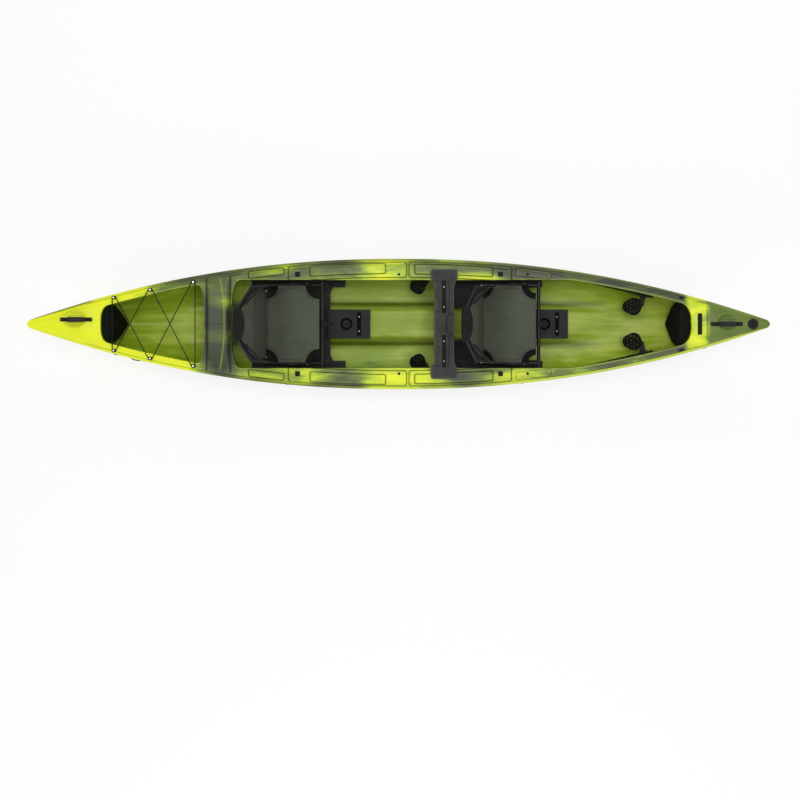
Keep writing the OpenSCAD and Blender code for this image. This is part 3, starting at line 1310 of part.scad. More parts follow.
hull_shell();
deck_moulding();
stern_foam_block();
bow_foam_block();
stern_handle_strap();
stern_handle_grip();
bow_handle_strap();
bow_handle_grip();
handle_screws();
drain_seat();
drain_plug();
bow_pad_eyes();
bungee_hooks();
deck_screws();
stern_bungee();
thwart();
thwart_tracks();
thwart_screws();
gunwale_plugs();
gunwale_buttons();
foot_rails();
foot_rail_bolts();
spare_hole_screws();
port_mid_pedal();
starboard_mid_pedal();
port_bow_pedal();
starboard_bow_pedal();
rear_seat_base();
front_seat_base();
console_tracks();
console_screws();
rear_seat_frame();
rear_seat_pan();
rear_back_frame();
rear_back_sling();
rear_back_wings();
rear_head_pad();
rear_hinge_bolts();
rear_seat_straps();
front_seat_frame();
front_seat_pan();
front_back_frame();
front_back_sling();
front_back_wings();
front_head_pad();
front_hinge_bolts();
front_seat_straps();
trolley_eye();
trolley_shock_loop();
trolley_stern_block();
trolley_stern_sheave();
trolley_bow_block();
trolley_bow_sheave();
trolley_fairleads();
trolley_line();
trolley_ring();
trolley_screws();
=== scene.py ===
"""Looks of the tandem kayak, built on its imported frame. Metres; +X runs to the bow, +Y to port and +Z up."""
import json
from functools import reduce

import bpy
import numpy as np
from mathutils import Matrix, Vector


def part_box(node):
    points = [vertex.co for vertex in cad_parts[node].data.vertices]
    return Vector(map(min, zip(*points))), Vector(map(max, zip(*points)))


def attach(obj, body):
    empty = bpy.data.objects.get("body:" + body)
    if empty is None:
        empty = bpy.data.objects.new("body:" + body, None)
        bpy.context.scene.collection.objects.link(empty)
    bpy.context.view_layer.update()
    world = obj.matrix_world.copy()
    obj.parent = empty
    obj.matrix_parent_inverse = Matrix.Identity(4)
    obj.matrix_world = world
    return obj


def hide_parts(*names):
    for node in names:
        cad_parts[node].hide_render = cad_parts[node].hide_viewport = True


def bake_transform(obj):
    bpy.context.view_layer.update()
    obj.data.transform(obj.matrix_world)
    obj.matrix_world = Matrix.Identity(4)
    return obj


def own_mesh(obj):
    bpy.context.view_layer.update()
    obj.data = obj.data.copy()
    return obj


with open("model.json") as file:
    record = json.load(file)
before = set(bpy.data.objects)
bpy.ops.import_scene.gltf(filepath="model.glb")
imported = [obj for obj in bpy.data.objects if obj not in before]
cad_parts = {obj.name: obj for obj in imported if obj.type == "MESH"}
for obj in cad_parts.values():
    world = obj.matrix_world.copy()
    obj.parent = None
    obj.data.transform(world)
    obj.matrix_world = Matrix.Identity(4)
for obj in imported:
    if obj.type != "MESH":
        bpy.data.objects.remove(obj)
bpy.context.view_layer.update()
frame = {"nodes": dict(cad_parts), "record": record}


# Small maths
def unit(v):
    return np.clip(v, 0, 1)


def ease(v):
    t = unit(v)
    return t * t * (3 - 2 * t)


def mix(a, b, t):
    return a + (b - a) * t


def soft_max(a, b, k):
    h = unit(0.5 + (a - b) / (2 * k))
    return mix(b, a, h) + k * h * (1 - h)


def soft_min(a, b, k):
    return -soft_max(-a, -b, k)


def bell(v, width):
    """A Gaussian: 1 at zero, and 1 / e at the width."""
    return np.exp(-(v / width) ** 2)


def most(*values):
    return reduce(np.maximum, values)


def least(*values):
    return reduce(np.minimum, values)


def direction(v):
    return v / np.linalg.norm(v, axis=-1, keepdims=True)


def grid(x, y, z):
    """Points from three coordinates, each spread over the others."""
    return np.stack(np.broadcast_arrays(x, y, z), -1)


# Meshes
def grid_quads(rows, columns, first=0, wrap=False):
    """Quads of a grid of points in rows; wrap joins the last column to the first."""
    i = np.arange(rows - 1)[:, None] * columns
    j = np.arange(columns if wrap else columns - 1)[None, :]
    k = (j + 1) % columns
    return (np.stack([i + j, i + columns + j, i + columns + k, i + k], -1) + first).reshape(-1, 4)


def capped_tube(rows, columns):
    """Quads of a closed ring of points carried along rows, with a cap on each end."""
    half = np.arange(columns // 2 - 1)
    cap = np.stack([half, half + 1, columns - 2 - half, columns - 1 - half], -1)
    return np.vstack([grid_quads(rows, columns, wrap=True), cap, (cap + (rows - 1) * columns)[:, ::-1]])


def closed_sheet(top, low):
    """Two grids of points, one over the other, joined round their rims: a sheet with thickness."""
    rows, columns = top.shape[:2]
    count = rows * columns
    across, along = np.arange(columns - 1), np.arange(rows - 1) * columns
    rim = np.concatenate([across, along + columns - 1, (rows - 1) * columns + across[::-1] + 1,
                          along[::-1] + columns])
    follow = np.roll(rim, -1)
    quads = np.vstack([grid_quads(rows, columns), grid_quads(rows, columns, count)[:, ::-1],
                       np.stack([rim, follow, follow + count, rim + count], -1)])
    return np.concatenate([top.reshape(-1, 3), low.reshape(-1, 3)]), quads


def join(parts):
    """Points and quads of several meshes as one."""
    firsts = np.cumsum([0] + [len(points) for points, _ in parts])
    return np.vstack([points for points, _ in parts]), np.vstack([q + f for (_, q), f in zip(parts, firsts)])


def add_object(name, data):
    piece = bpy.data.objects.new(name, data)
    bpy.context.collection.objects.link(piece)
    return piece


def quad_mesh(name, points, quads, body, slot, replaces=(), materials=None, index=None, smooth=True, uv=None):
    """A mesh object of quads that rides a body and stands for CAD nodes. Its material is its slot's look, or
    index gives each quad's place in materials."""
    mesh = bpy.data.meshes.new(name)
    points = np.asarray(points, np.float32).reshape(-1, 3)
    quads = np.asarray(quads, np.int32)
    mesh.vertices.add(len(points))
    mesh.vertices.foreach_set("co", points.ravel())
    mesh.loops.add(quads.size)
    mesh.loops.foreach_set("vertex_index", quads.ravel())
    mesh.polygons.add(len(quads))
    mesh.polygons.foreach_set("loop_start", np.arange(0, quads.size, 4, dtype=np.int32))
    mesh.update(calc_edges=True)
    mesh.polygons.foreach_set("use_smooth", np.full(len(quads), smooth))
    for m in materials or [looks[slot]]:
        mesh.materials.append(m)
    if index is not None:
        mesh.polygons.foreach_set("material_index", np.asarray(index, np.int32))
    if uv is not None:
        corners = np.asarray(uv, np.float32)[quads.ravel()]
        mesh.uv_layers.new(name="UVMap").data.foreach_set("uv", corners.ravel())
    mesh.validate()
    piece = add_object(name, mesh)
    if body:
        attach(piece, body)
    if replaces:
        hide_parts(*replaces)
    return piece


def add_marks(piece, layers=1, **marks):
    """Floats on the vertices for the shader, by name; each layer of points takes the same ones."""
    for name, values in marks.items():
        layer = piece.data.attributes.new(name, "FLOAT", "POINT")
        layer.data.foreach_set("value", np.tile(np.asarray(values, np.float32).ravel(), layers))


# Shading
def srgb(r, g, b):
    """Linear colour of an 8-bit display colour."""
    c = np.array([r, g, b]) / 255
    return (*np.where(c <= 0.04045, c / 12.92, ((c + 0.055) / 1.055) ** 2.4), 1)


def tint(colour, gain, add=0.0):
    """A linear colour made lighter or darker."""
    return tuple(min(1, c * gain + add) for c in colour[:3]) + (1,)


def set_stops(bar, stops, smooth):
    """Places and colours, or greys, of a colour ramp."""
    bar.interpolation = "EASE" if smooth else "LINEAR"
    while len(bar.elements) < len(stops):
        bar.elements.new(0.5)
    for element, (place, colour) in zip(bar.elements, stops):
        element.position = place
        element.color = colour if len(np.shape(colour)) else (colour, colour, colour, 1)


class Value:
    """A shader socket that takes part in arithmetic: each operator adds one Math node to its material."""

    def __init__(self, paint, socket):
        self.paint, self.socket = paint, socket

    def of(self, operation, other=0.0, clamp=False):
        return self.paint.math(operation, self, other, clamp)

    def __add__(self, other):
        return self.of("ADD", other)

    def __sub__(self, other):
        return self.of("SUBTRACT", other)

    def __rsub__(self, other):
        return self.paint.math("SUBTRACT", other, self)

    def __mul__(self, other):
        return self.of("MULTIPLY", other)

    def __truediv__(self, other):
        return self.of("DIVIDE", other)

    __radd__, __rmul__ = __add__, __mul__


class Paint:
    """A material, or the world: node() adds any shader node, and put() links a value to its main shader."""

    def __init__(self, name, world=None, **constants):
        self.material = world or bpy.data.materials.new(name)
        self.material.use_nodes = True
        self.tree = self.material.node_tree
        self.shader = self.tree.nodes["Background" if world else "Principled BSDF"]
        for key, value in constants.items():
            self.shader.inputs[key.replace("_", " ")].default_value = value

    def fill(self, socket, value):
        if isinstance(value, Value):
            self.tree.links.new(value.socket, socket)
        else:
            socket.default_value = value

    def node(self, kind, out=None, settings=None, **inputs):
        """Any shader node: its settings first, then its sockets by identifier; one output comes back."""
        made = self.tree.nodes.new("ShaderNode" + kind)
        for key, value in (settings or {}).items():
            if key == "stops":
                set_stops(made.color_ramp, *value)
            else:
                setattr(made, key, value)
        for key, value in inputs.items():
            self.fill(next(s for s in made.inputs if s.identifier == key), value)
        return Value(self, next(s for s in made.outputs if out in (None, s.identifier)))

    def math(self, operation, a, b=0.0, clamp=False):
        return self.node("Math", None, {"operation": operation, "use_clamp": clamp}, Value=a, Value_001=b)

    def mix(self, share, a, b):
        settings = {"data_type": "RGBA"}
        return self.node("Mix", "Result_Color", settings, Factor_Float=share, A_Color=a, B_Color=b)

    def ramp(self, share, stops, smooth=True):
        return self.node("ValToRGB", None, {"stops": (stops, smooth)}, Fac=share)

    def place(self, sx=1.0, sy=1.0, sz=1.0):
        """Object coordinates, scaled along each axis."""
        point = self.node("TexCoord", "Object")
        return self.node("Mapping", None, {"vector_type": "POINT"}, Vector=point, Scale=(sx, sy, sz))

    def axis(self, name):
        return self.node("SeparateXYZ", name, Vector=self.node("TexCoord", "Object"))

    def noise(self, vector, scale=1.0, detail=3.0, rough=0.5, warp=0.0):
        return self.node("TexNoise", Vector=vector, Scale=scale, Detail=detail, Roughness=rough,
                         Distortion=warp)

    def put(self, name, value):
        self.fill(self.shader.inputs[name], value)

    def finish(self, colour, rough, bump=None):
        """The material with its colour and roughness; bump is a relief's height, strength and distance."""
        self.put("Base Color", colour)
        self.put("Roughness", rough)
        if bump:
            self.put("Normal", self.node("Bump", **dict(zip(("Height", "Strength", "Distance"), bump))))
        return self.material

    def mark(self, name):
        """A float that the mesh holds on its vertices."""
        return self.node("Attribute", "Fac", {"attribute_name": name})

    def backdrop(self):
        """1 for rays that look at the background straight, in a gloss or through glass, and 0 for light."""
        kinds = ("Is Camera Ray", "Is Glossy Ray", "Is Transmission Ray")
        return sum(self.node("LightPath", kind) for kind in kinds).of("MINIMUM", 1.0)


# Hull lines, as in the frame
HALF, BEAM, DEPTH, RISE, TIP, WALL, STEP = 2.286, 0.810, 0.338, 0.043, 0.020, 0.006, 0.006
TUNNEL_TOP, TUNNEL_HALF, TUNNEL_SIDE = 0.075, 0.103, 0.035
HULL_END = HALF - 0.025

# Colours and finishes
YELLOW, LIME, LEAF = srgb(228, 236, 30), srgb(194, 214, 42), srgb(140, 165, 46)
OLIVE, MOSS, DARK = srgb(98, 118, 48), srgb(76, 89, 45), srgb(54, 61, 42)


def camouflage(name, spread, clouds, streaks, calm, shade=0.0):
    """Mottled polyethylene: a bias along the hull plus clouds and drawn-out streaks picks from dark olive to
    yellow. The bias turns earlier to port near the stern, and the mottling is calm ahead of one station."""
    p = Paint(name, Specular_IOR_Level=0.3)
    x = p.axis("X")
    along = (x + p.axis("Y") * (x * -0.45).of("MAXIMUM", 0.0) + HALF) / (2 * HALF)
    bias = p.ramp(along, [(place, value / 2) for place, value in spread], smooth=False) * 2
    cloud = p.noise(p.place(2.2, 5.0, 5.0), 1.0, 2.5, 0.5, 0.3)
    streak = p.noise(p.place(3.4, 20.0, 14.0), 1.0, 4.0, 0.6, 0.2)
    fine = p.noise(p.place(9.0, 110.0, 60.0), 1.0, 3.0, 0.6)
    mottle = (cloud - 0.5) * clouds + (streak - 0.5) * streaks + (fine - 0.5) * 0.22
    still = ((x - calm) * 30.0).of("ADD", 0.0, clamp=True)
    # shade makes the tone darker low down and lighter high up: painted shade
    tone = bias + mottle * (1 - still * 0.8) + (p.axis("Z") - 0.2) * shade
    colour = p.ramp(tone, [(0.08, DARK), (0.26, MOSS), (0.42, OLIVE), (0.57, LEAF), (0.72, LIME),
                           (0.88, YELLOW)])
    grain = p.noise(p.place(), 900.0, 2.0, 0.5)
    # The edge mark lightens towards pale lime: painted highlight along lips, rims and ridges, and the lime
    # band the deck marks on its starboard rail
    brightening = p.mark("edge") * (0.35 + streak * 0.6)
    brightened = p.mix(brightening.of("MINIMUM", 0.8), colour, srgb(200, 216, 70))
    # The groove mark paints near-black: painted shadow in grooves, notches and recesses, and painted shade on
    # the rail's outer rounding
    cut = p.mark("groove")
    colour = p.mix((cut * 0.9).of("MINIMUM", 1.0), brightened, srgb(15, 18, 11))
    return p.finish(colour, 0.34 + grain * 0.12 + cut * 0.4, (grain, 0.12, 0.0006))


def inside_paint():
    """The hull's inner face: one moulded lime green, clouded; darker outboard and in the tunnel's valleys,
    which is painted shade, and paler along the crests that the edge mark holds, which is painted highlight.
    """
    p = Paint("hull inside", Specular_IOR_Level=0.35)
    cloud = p.noise(p.place(1.2, 3.0, 3.0), 1.6, 4.0, 0.6, 0.3)
    drag = p.noise(p.place(2.0, 30.0, 20.0), 1.0, 3.0, 0.5)
    # painted shade: darker away from the middle, towards the walls
    wall = ((p.axis("Y").of("ABSOLUTE") - 0.10) * 3.0).of("ADD", 0.0, clamp=True)
    tone = cloud * 0.8 + drag * 0.35 - wall * 0.14
    skin = p.ramp(tone, [(0.30, srgb(84, 112, 4)), (0.50, srgb(136, 162, 26)), (0.72, srgb(176, 194, 78))])
    # painted highlight on the crests, then painted shade in the valleys
    crest = p.mix(p.mark("edge") * 0.6, skin, srgb(178, 192, 100))
    colour = p.mix(p.mark("groove") * 0.75, crest, srgb(50, 70, 6))
    grain = p.noise(p.place(), 700.0, 2.0, 0.5)
    return p.finish(colour, 0.38 + grain * 0.14, (grain, 0.15, 0.0008))


def plastic(name, low, high, rough=0.5, scale=600.0, strength=0.15, gloss=0.14):
    """Moulded plastic: two close tones by cloud, a fine grain in gloss and relief, creases painted dark as
    shade and edges painted lighter as highlight."""
    p = Paint(name, Specular_IOR_Level=gloss)
    cloud = p.noise(p.place(), 14.0, 3.0, 0.6)
    grain = p.noise(p.place(), scale, 2.0, 0.6)
    tone = p.ramp(cloud * 0.7 + grain * 0.3, [(0.3, low), (0.7, high)])
    # painted highlight along the edge mark; painted shade along the groove mark
    brightened = p.mix((p.mark("edge") * (0.4 + cloud)).of("MINIMUM", 1.0), tone, tint(high, 3.0, 0.01))
    colour = p.mix(p.mark("groove") * 0.85, brightened, srgb(6, 6, 6))
    return p.finish(colour, rough - 0.06 + grain * 0.12, (grain, strength, 0.0006))


def metal(name, colour, rough=0.28, fore=None):
    """Turned steel: brushed streaks in gloss; fore is the colour of the pieces on the bow."""
    p = Paint(name, Metallic=1.0)
    streak = p.noise(p.place(300.0, 300.0, 40.0), 6.0, 3.0, 0.6)
    bright = p.ramp(streak, [(0.3, colour), (0.7, tint(colour, 1.12))])
    on_bow = p.axis("X").of("GREATER_THAN", 1.0)
    return p.finish(p.mix(on_bow, bright, fore or colour), rough + streak * 0.12)


def woven(name, low, high, pitch, rough=0.85):
    """Cloth: two crossed waves of threads, a little uneven, in colour and relief; darker where the mesh marks
    painted shade."""
    p = Paint(name, Specular_IOR_Level=0.15)
    x, y, z = (p.axis(a) for a in "XYZ")
    wave = 6.2832 / pitch
    warp = ((x + z * 0.97) * wave).of("SINE")
    weft = (y * wave).of("SINE")
    cross = (warp * weft) * 0.5 + 0.5
    fuzz = p.noise(p.place(), 500.0, 3.0, 0.6)
    shade = p.noise(p.place(), 9.0, 3.0, 0.6)
    bound, stitch = p.mark("binding"), p.mark("stitch")
    cloth = p.ramp(cross * 0.45 + fuzz * 0.25 + shade * 0.3, [(0.25, low), (0.75, high)])
    # painted shade on the cloth
    cloth = p.mix(p.mark("fade") * 0.6, cloth, tint(low, 0.55))
    colour = p.mix((bound + stitch * 0.45).of("MINIMUM", 1.0), cloth, srgb(13, 13, 13))
    return p.finish(colour, rough + fuzz * 0.1, (cross + fuzz * 0.6 - stitch * 3.0, 0.5, 0.0006))


def braid(name, low, high):
    """Braided cord: slanted bands that wrap round it."""
    p = Paint(name, Specular_IOR_Level=0.2)
    flat = p.node("TexCoord", "UV")
    u, v = (p.node("SeparateXYZ", a, Vector=flat) for a in "XY")
    along, around = u * 900.0, v * 25.1327
    turn = (along + around).of("SINE") * (along - around).of("SINE")
    fuzz = p.noise(p.place(), 900.0, 2.0, 0.6)
    colour = p.ramp(turn * 0.3 + fuzz * 0.6 + 0.2, [(0.3, low), (0.8, high)])
    return p.finish(colour, 0.7 + fuzz * 0.2, (turn + fuzz, 0.4, 0.0006))


# Tones along the hull and the deck, from stern to bow: share of the length, and bias from dark to yellow
HULL_TONES = [(0.0, 1.25), (0.09, 1.1), (0.12, 0.75), (0.16, 0.52), (0.205, 0.26), (0.23, 0.52),
              (0.27, 0.5), (0.30, 0.16), (0.40, 0.15), (0.42, 0.45), (0.48, 0.46), (0.505, 0.2),
              (0.65, 0.24), (0.68, 0.46), (0.73, 0.42), (0.75, 0.15), (0.82, 0.17), (0.84, 0.36),
              (0.90, 0.36), (0.908, 0.72), (0.924, 0.72), (0.932, 0.4), (1.0, 0.38)]
DECK_TONES = [(0.0, 1.3), (0.15, 1.2), (0.185, 0.85), (0.205, 0.5), (0.225, 0.24), (0.27, 0.2),
              (0.30, 0.36), (0.36, 0.5), (0.42, 0.32), (0.48, 0.62), (0.55, 0.38), (0.62, 0.56),
              (0.68, 0.34), (0.75, 0.5), (0.785, 0.18), (0.884, 0.2), (0.892, 0.72), (0.914, 0.72),
              (0.921, 0.40), (1.0, 0.38)]
# the hull's last argument, 0.5, is its painted shade by height
hull_paint = camouflage("hull camouflage", HULL_TONES, 1.5, 0.22, 1.95, 0.5)
inside = inside_paint()
dark_steel = metal("dull screw steel", srgb(126, 126, 122), 0.4)
black_steel = metal("blackened screw steel", srgb(44, 44, 43), 0.45)
base_black = plastic("seat base black", srgb(17, 17, 17), srgb(33, 33, 32), 0.5)
bar_track = plastic("crossbar track", srgb(20, 20, 19), srgb(33, 33, 31), 0.6, 600.0, 0.15, 0.08)
deck_steel = metal("deck screw steel", srgb(214, 214, 210), 0.28, srgb(70, 70, 68))
looks = {
    "foam": plastic("foam black", srgb(10, 10, 8), srgb(22, 22, 18), 0.9, 350.0, 0.5, 0.1),
    "webbing": woven("webbing", srgb(11, 11, 11), srgb(34, 34, 33), 0.0024, 0.75),
    "black_plastic": plastic("black plastic", srgb(10, 10, 10), srgb(27, 27, 26), 0.5),
    "grey_plastic": plastic("charcoal plastic", srgb(44, 44, 42), srgb(60, 59, 56), 0.55),
    "track_plastic": plastic("track", srgb(5, 5, 5), srgb(13, 13, 13), 0.65, 600.0, 0.15, 0.05),
    "steel": metal("screw steel", srgb(214, 214, 210)),
    "cord": braid("cord", srgb(9, 9, 9), srgb(32, 32, 31)),
    "rubber": plastic("rubber", srgb(12, 12, 12), srgb(28, 28, 28), 0.7),
    "seat_tube": plastic("seat tube", srgb(8, 8, 8), srgb(22, 22, 22), 0.42, 900.0, 0.1, 0.2),
    "seat_fabric": woven("seat fabric", srgb(62, 67, 56), srgb(97, 102, 88), 0.0042),
    "wing_fabric": woven("wing fabric", srgb(13, 13, 12), srgb(36, 36, 33), 0.0034),
    "hull_plastic": hull_paint,
    "deck_plastic": camouflage("deck camouflage", DECK_TONES, 1.9, 0.55, 1.90),
}


def share(x):
    return np.minimum(1, np.abs(x) / HALF)


def half_beam(x):
    """Half breadth: falls off by a power of the distance from midships, to a rounded nose."""
    over = np.maximum(0, np.abs(x) - HALF + TIP) / TIP
    nose = np.sqrt(np.maximum(0.02, 1 - over ** 2))
    return TIP * nose + (BEAM / 2 - TIP) * (1 - share(x) ** 2.15)


def sheer(x):
    """Height of the deck's edge: rises by a power of the distance from midships."""
    return DEPTH + RISE * share(x) ** 2.5


def seam(x):
    """Height of the seam between hull and deck: nearer to the sheer by a cube towards the ends."""
    return sheer(x) - mix(0.043, 0.025, share(x) ** 3)


def keel(x):
    """Height of the keel: a parabolic rocker, a straight skeg at each end and raked stems, softly joined."""
    rocker = np.maximum(0, np.abs(x + 0.05) - 0.3) ** 2 / 22.0
    skeg = np.where(x > 0, 0.051 - 0.0413 * (x - HALF + 0.981), 0.034 - 0.0307 * (-x - HALF + 1.117))
    stem = 0.81 * (np.abs(x) - HALF + 0.457)
    return np.minimum(soft_max(soft_min(rocker, skeg, 0.012), stem, 0.03), seam(x) - 0.004)


def bilge(x):
    """Exponent of the bilge's superellipse: full amidships, eased to nearly straight at the ends."""
    return mix(3.0, 1.2, ease(np.where(x > 0, (share(x) - 0.58) / 0.28, (share(x) - 0.35) / 0.5)))


def tunnel_share(x):
    """1 where the tunnel is whole, eased to 0 where it runs out."""
    return 1 - ease((np.abs(x) - 1.1) / 0.32)


def foot_and_flat(x, b, inset=0.0):
    """Half breadth of the tunnel's foot, and of the flat that it leaves out of the bilge curve."""
    foot = np.minimum(TUNNEL_HALF + TUNNEL_SIDE + inset, 0.4 * b)
    return foot, foot * tunnel_share(x)


def hull_section(x, inset):
    """Half sections from the centre line to the seam: a flat tunnel top, an eased tunnel side, then a
    superellipse bilge that starts at the tunnel's foot. x is a column; the result is y and z with one row for
    each station."""
    m, b = bilge(x), half_beam(x) - STEP - inset
    foot, flat = foot_and_flat(x, b, inset)
    height = seam(x) - (keel(x) + 1.2 * inset)
    raised = TUNNEL_TOP + inset
    crest = np.minimum(TUNNEL_HALF + inset / 2, 0.2 * b)

    def curve(y):
        t = unit((y - flat) / (b - flat))
        return seam(x) - height * (1 - t ** m) ** (1 / m)

    inner = crest * np.linspace(0, 1, 7)[None, :]
    inner_z = mix(curve(inner), raised, tunnel_share(x))
    t = np.linspace(0, 1, 12)[None, 1:-1]
    side = mix(crest, foot, t)
    side_z = mix(mix(curve(side), raised, tunnel_share(x)), curve(side), ease(t))
    start = np.arcsin(unit((foot - flat) / (b - flat)) ** (m / 2))
    a = mix(start, np.pi / 2, np.linspace(0, 1, 44)[None, :])
    y = flat + (b - flat) * np.sin(a) ** (2 / m)
    z = seam(x) - height * np.maximum(np.cos(a), 0) ** (2 / m)
    return np.hstack([inner, side, y]), np.hstack([inner_z, side_z, z])


def build_hull():
    """Outer and inner skins over many stations, joined along the rim; the inner one stops short of the
    stems."""
    x = np.linspace(-HULL_END, HULL_END, 381)[:, None]
    skins = []
    for stations, inset in ((x, 0.0), (x[np.abs(x[:, 0]) < HALF - 0.30], WALL)):
        y, z = hull_section(stations, inset)
        skins.append(grid(stations, np.hstack([y[:, ::-1], -y[:, 1:]]), np.hstack([z[:, ::-1], z[:, 1:]])))
    (rows, columns), inner_rows = skins[0].shape[:2], len(skins[1])
    first = rows * columns
    outer, inner = grid_quads(rows, columns), grid_quads(inner_rows, columns, first)
    station = np.arange(inner_rows - 1) * columns
    rims = []
    for c in (0, columns - 1):
        o, i = station + (rows - inner_rows) // 2 * columns + c, station + first + c
        rims.append(np.stack([o, o + columns, i + columns, i], -1))
    half = np.arange(columns // 2 - 1)
    stem = np.stack([half, columns - 1 - half, columns - 2 - half, half + 1], -1)
    quads = np.vstack([outer, inner[:, ::-1], *rims, stem, stem + (rows - 1) * columns])
    index = np.zeros(len(quads))
    index[len(outer):len(outer) + len(inner)] = 1
    points = np.vstack([s.reshape(-1, 3) for s in skins])
    piece = quad_mesh("hull", points, quads, "hull", "hull_plastic", ["hull_shell"],
                      [hull_paint, inside], index)
    y, tunnel = np.abs(skins[1][..., 1]), tunnel_share(skins[1][..., 0])
    # painted shade in the valleys beside the tunnel, and painted highlight along the crests: the tunnel's top
    # edges, and the middle where the tunnel has run out
    valley = bell(y - TUNNEL_HALF - TUNNEL_SIDE + 0.008, 0.017) * tunnel
    crest = bell(y, 0.006) * (1 - tunnel) + bell(y - TUNNEL_HALF, 0.010) * tunnel
    outside = np.zeros(first)
    add_marks(piece, groove=np.append(outside, valley), edge=np.append(outside, crest))


# Deck: openings and levels, as in the frame
WELL_AFT, WELL_FORE, COCKPIT_AFT, COCKPIT_FORE = -1.843, -1.204, -1.037, 1.811
WELL_CORNER, COCKPIT_CORNER, BOW_CORNER = 0.055, 0.070, 0.085
SIDE_DECK, COCKPIT_HALF, RAIL, DROP, LIP = 0.058, 0.273, 0.043, 0.005, 0.030
BRIDGE_RISE, END_RISE, EDGE_ROUND, FULL_HALF = 0.018, 0.012, 0.005, 0.095


def end_shape(t):
    """Quarter of a cubic superellipse, for an opening's corners."""
    return (1 - (1 - unit(t)) ** 3) ** (1 / 3)


def opening_half(x):
    """Half breadth of the well or the cockpit at a station, and 0 where the deck is whole."""
    side = half_beam(x) - SIDE_DECK
    well = side * end_shape((x - WELL_AFT) / WELL_CORNER) * end_shape((WELL_FORE - x) / WELL_CORNER)
    wide = soft_min(COCKPIT_HALF, side, 0.008)
    from_aft, to_fore = (x - COCKPIT_AFT) / COCKPIT_CORNER, (COCKPIT_FORE - x) / BOW_CORNER
    cockpit = wide * end_shape(from_aft) * end_shape(to_fore)
    in_well = (x > WELL_AFT) & (x < WELL_FORE)
    in_cockpit = (x > COCKPIT_AFT) & (x < COCKPIT_FORE)
    return np.where(in_well, well, np.where(in_cockpit, cockpit, 0.0))


# Side panels: aft and fore ends, distances in from the deck's edge, and corner radius; the last one is faint
PANELS = [(-0.93, -0.71, 0.026, 0.068, 0.012), (-0.684, 0.05, 0.022, 0.116, 0.016),
          (-0.55, -0.08, 0.030, 0.092, 0.012), (0.065, 0.70, 0.022, 0.116, 0.016),
          (0.10, 0.585, 0.034, 0.094, 0.012), (0.728, 0.945, 0.028, 0.072, 0.012)]
FAINT_FROM, PANEL_LINE = 0.7, 0.0034
# Scoops below the carry handles: middle and half axes; their ribs' pitch
SCOOPS, RIB = ((-1.997, 0.032, 0.065, 0.052), (2.030, 0.010, 0.062, 0.050)), 0.019
# The bow's bar, slot and line across: ends along x
BAR, SLOT, BOW_LINE = (1.822, 1.847), (1.849, 1.875), 1.905
# The rail's section: in from the edge and down from the sheer, mm
RAIL_SECTION = [(0, 16), (1.2, 11.5), (3.2, 8), (6, 5.2), (10, 2.5), (14, 0.9), (17, 0.1), (18.3, 1.6),
                (19.7, 1.6), (21, 0.1), (23, 0.2), (25, 0.35), (27, 0.6), (29, 0.95), (31, 1.4),
                (33, 1.9), (35, 2.45), (37, 3), (40, 3.95), (43, 5)]


def deck_stations():
    """Stations along the deck, close together where an opening's end turns and beside lines across."""
    a = np.radians(np.linspace(0, 90, 20))
    run = 1 - np.cos(a) ** (2 / 3)
    tip = TIP * (1 - np.cos(np.radians(np.linspace(0, 90, 9))))
    near = np.array([-4.5, -3.0, -1.5, 0.0, 1.5, 3.0, 4.5]) / 1000
    lines = [x for panel in PANELS for x in panel[:2]] + [BAR[0] + 0.001, BAR[1], *SLOT, BOW_LINE]
    parts = [np.add.outer(lines, near).ravel(), -HALF + tip, np.arange(-HALF + TIP, WELL_AFT, 0.010),
             WELL_AFT + WELL_CORNER * run, np.arange(WELL_AFT + WELL_CORNER, WELL_FORE - WELL_CORNER, 0.012),
             WELL_FORE - WELL_CORNER * run, np.arange(WELL_FORE, COCKPIT_AFT, 0.004),
             COCKPIT_AFT + COCKPIT_CORNER * run,
             np.arange(COCKPIT_AFT + COCKPIT_CORNER, COCKPIT_FORE - BOW_CORNER, 0.012),
             COCKPIT_FORE - BOW_CORNER * run, np.arange(COCKPIT_FORE, HALF - TIP, 0.006), HALF - tip]
    return np.unique(np.round(np.concatenate(parts), 6))


def rounded_box(x, y, x0, x1, y0, y1, r):
    """Signed distance to a rounded rectangle in plan."""
    dx = np.abs(x - (x0 + x1) / 2) - (x1 - x0) / 2 + r
    dy = np.abs(y - (y0 + y1) / 2) - (y1 - y0) / 2 + r
    return np.hypot(np.maximum(dx, 0), np.maximum(dy, 0)) + np.minimum(np.maximum(dx, dy), 0) - r


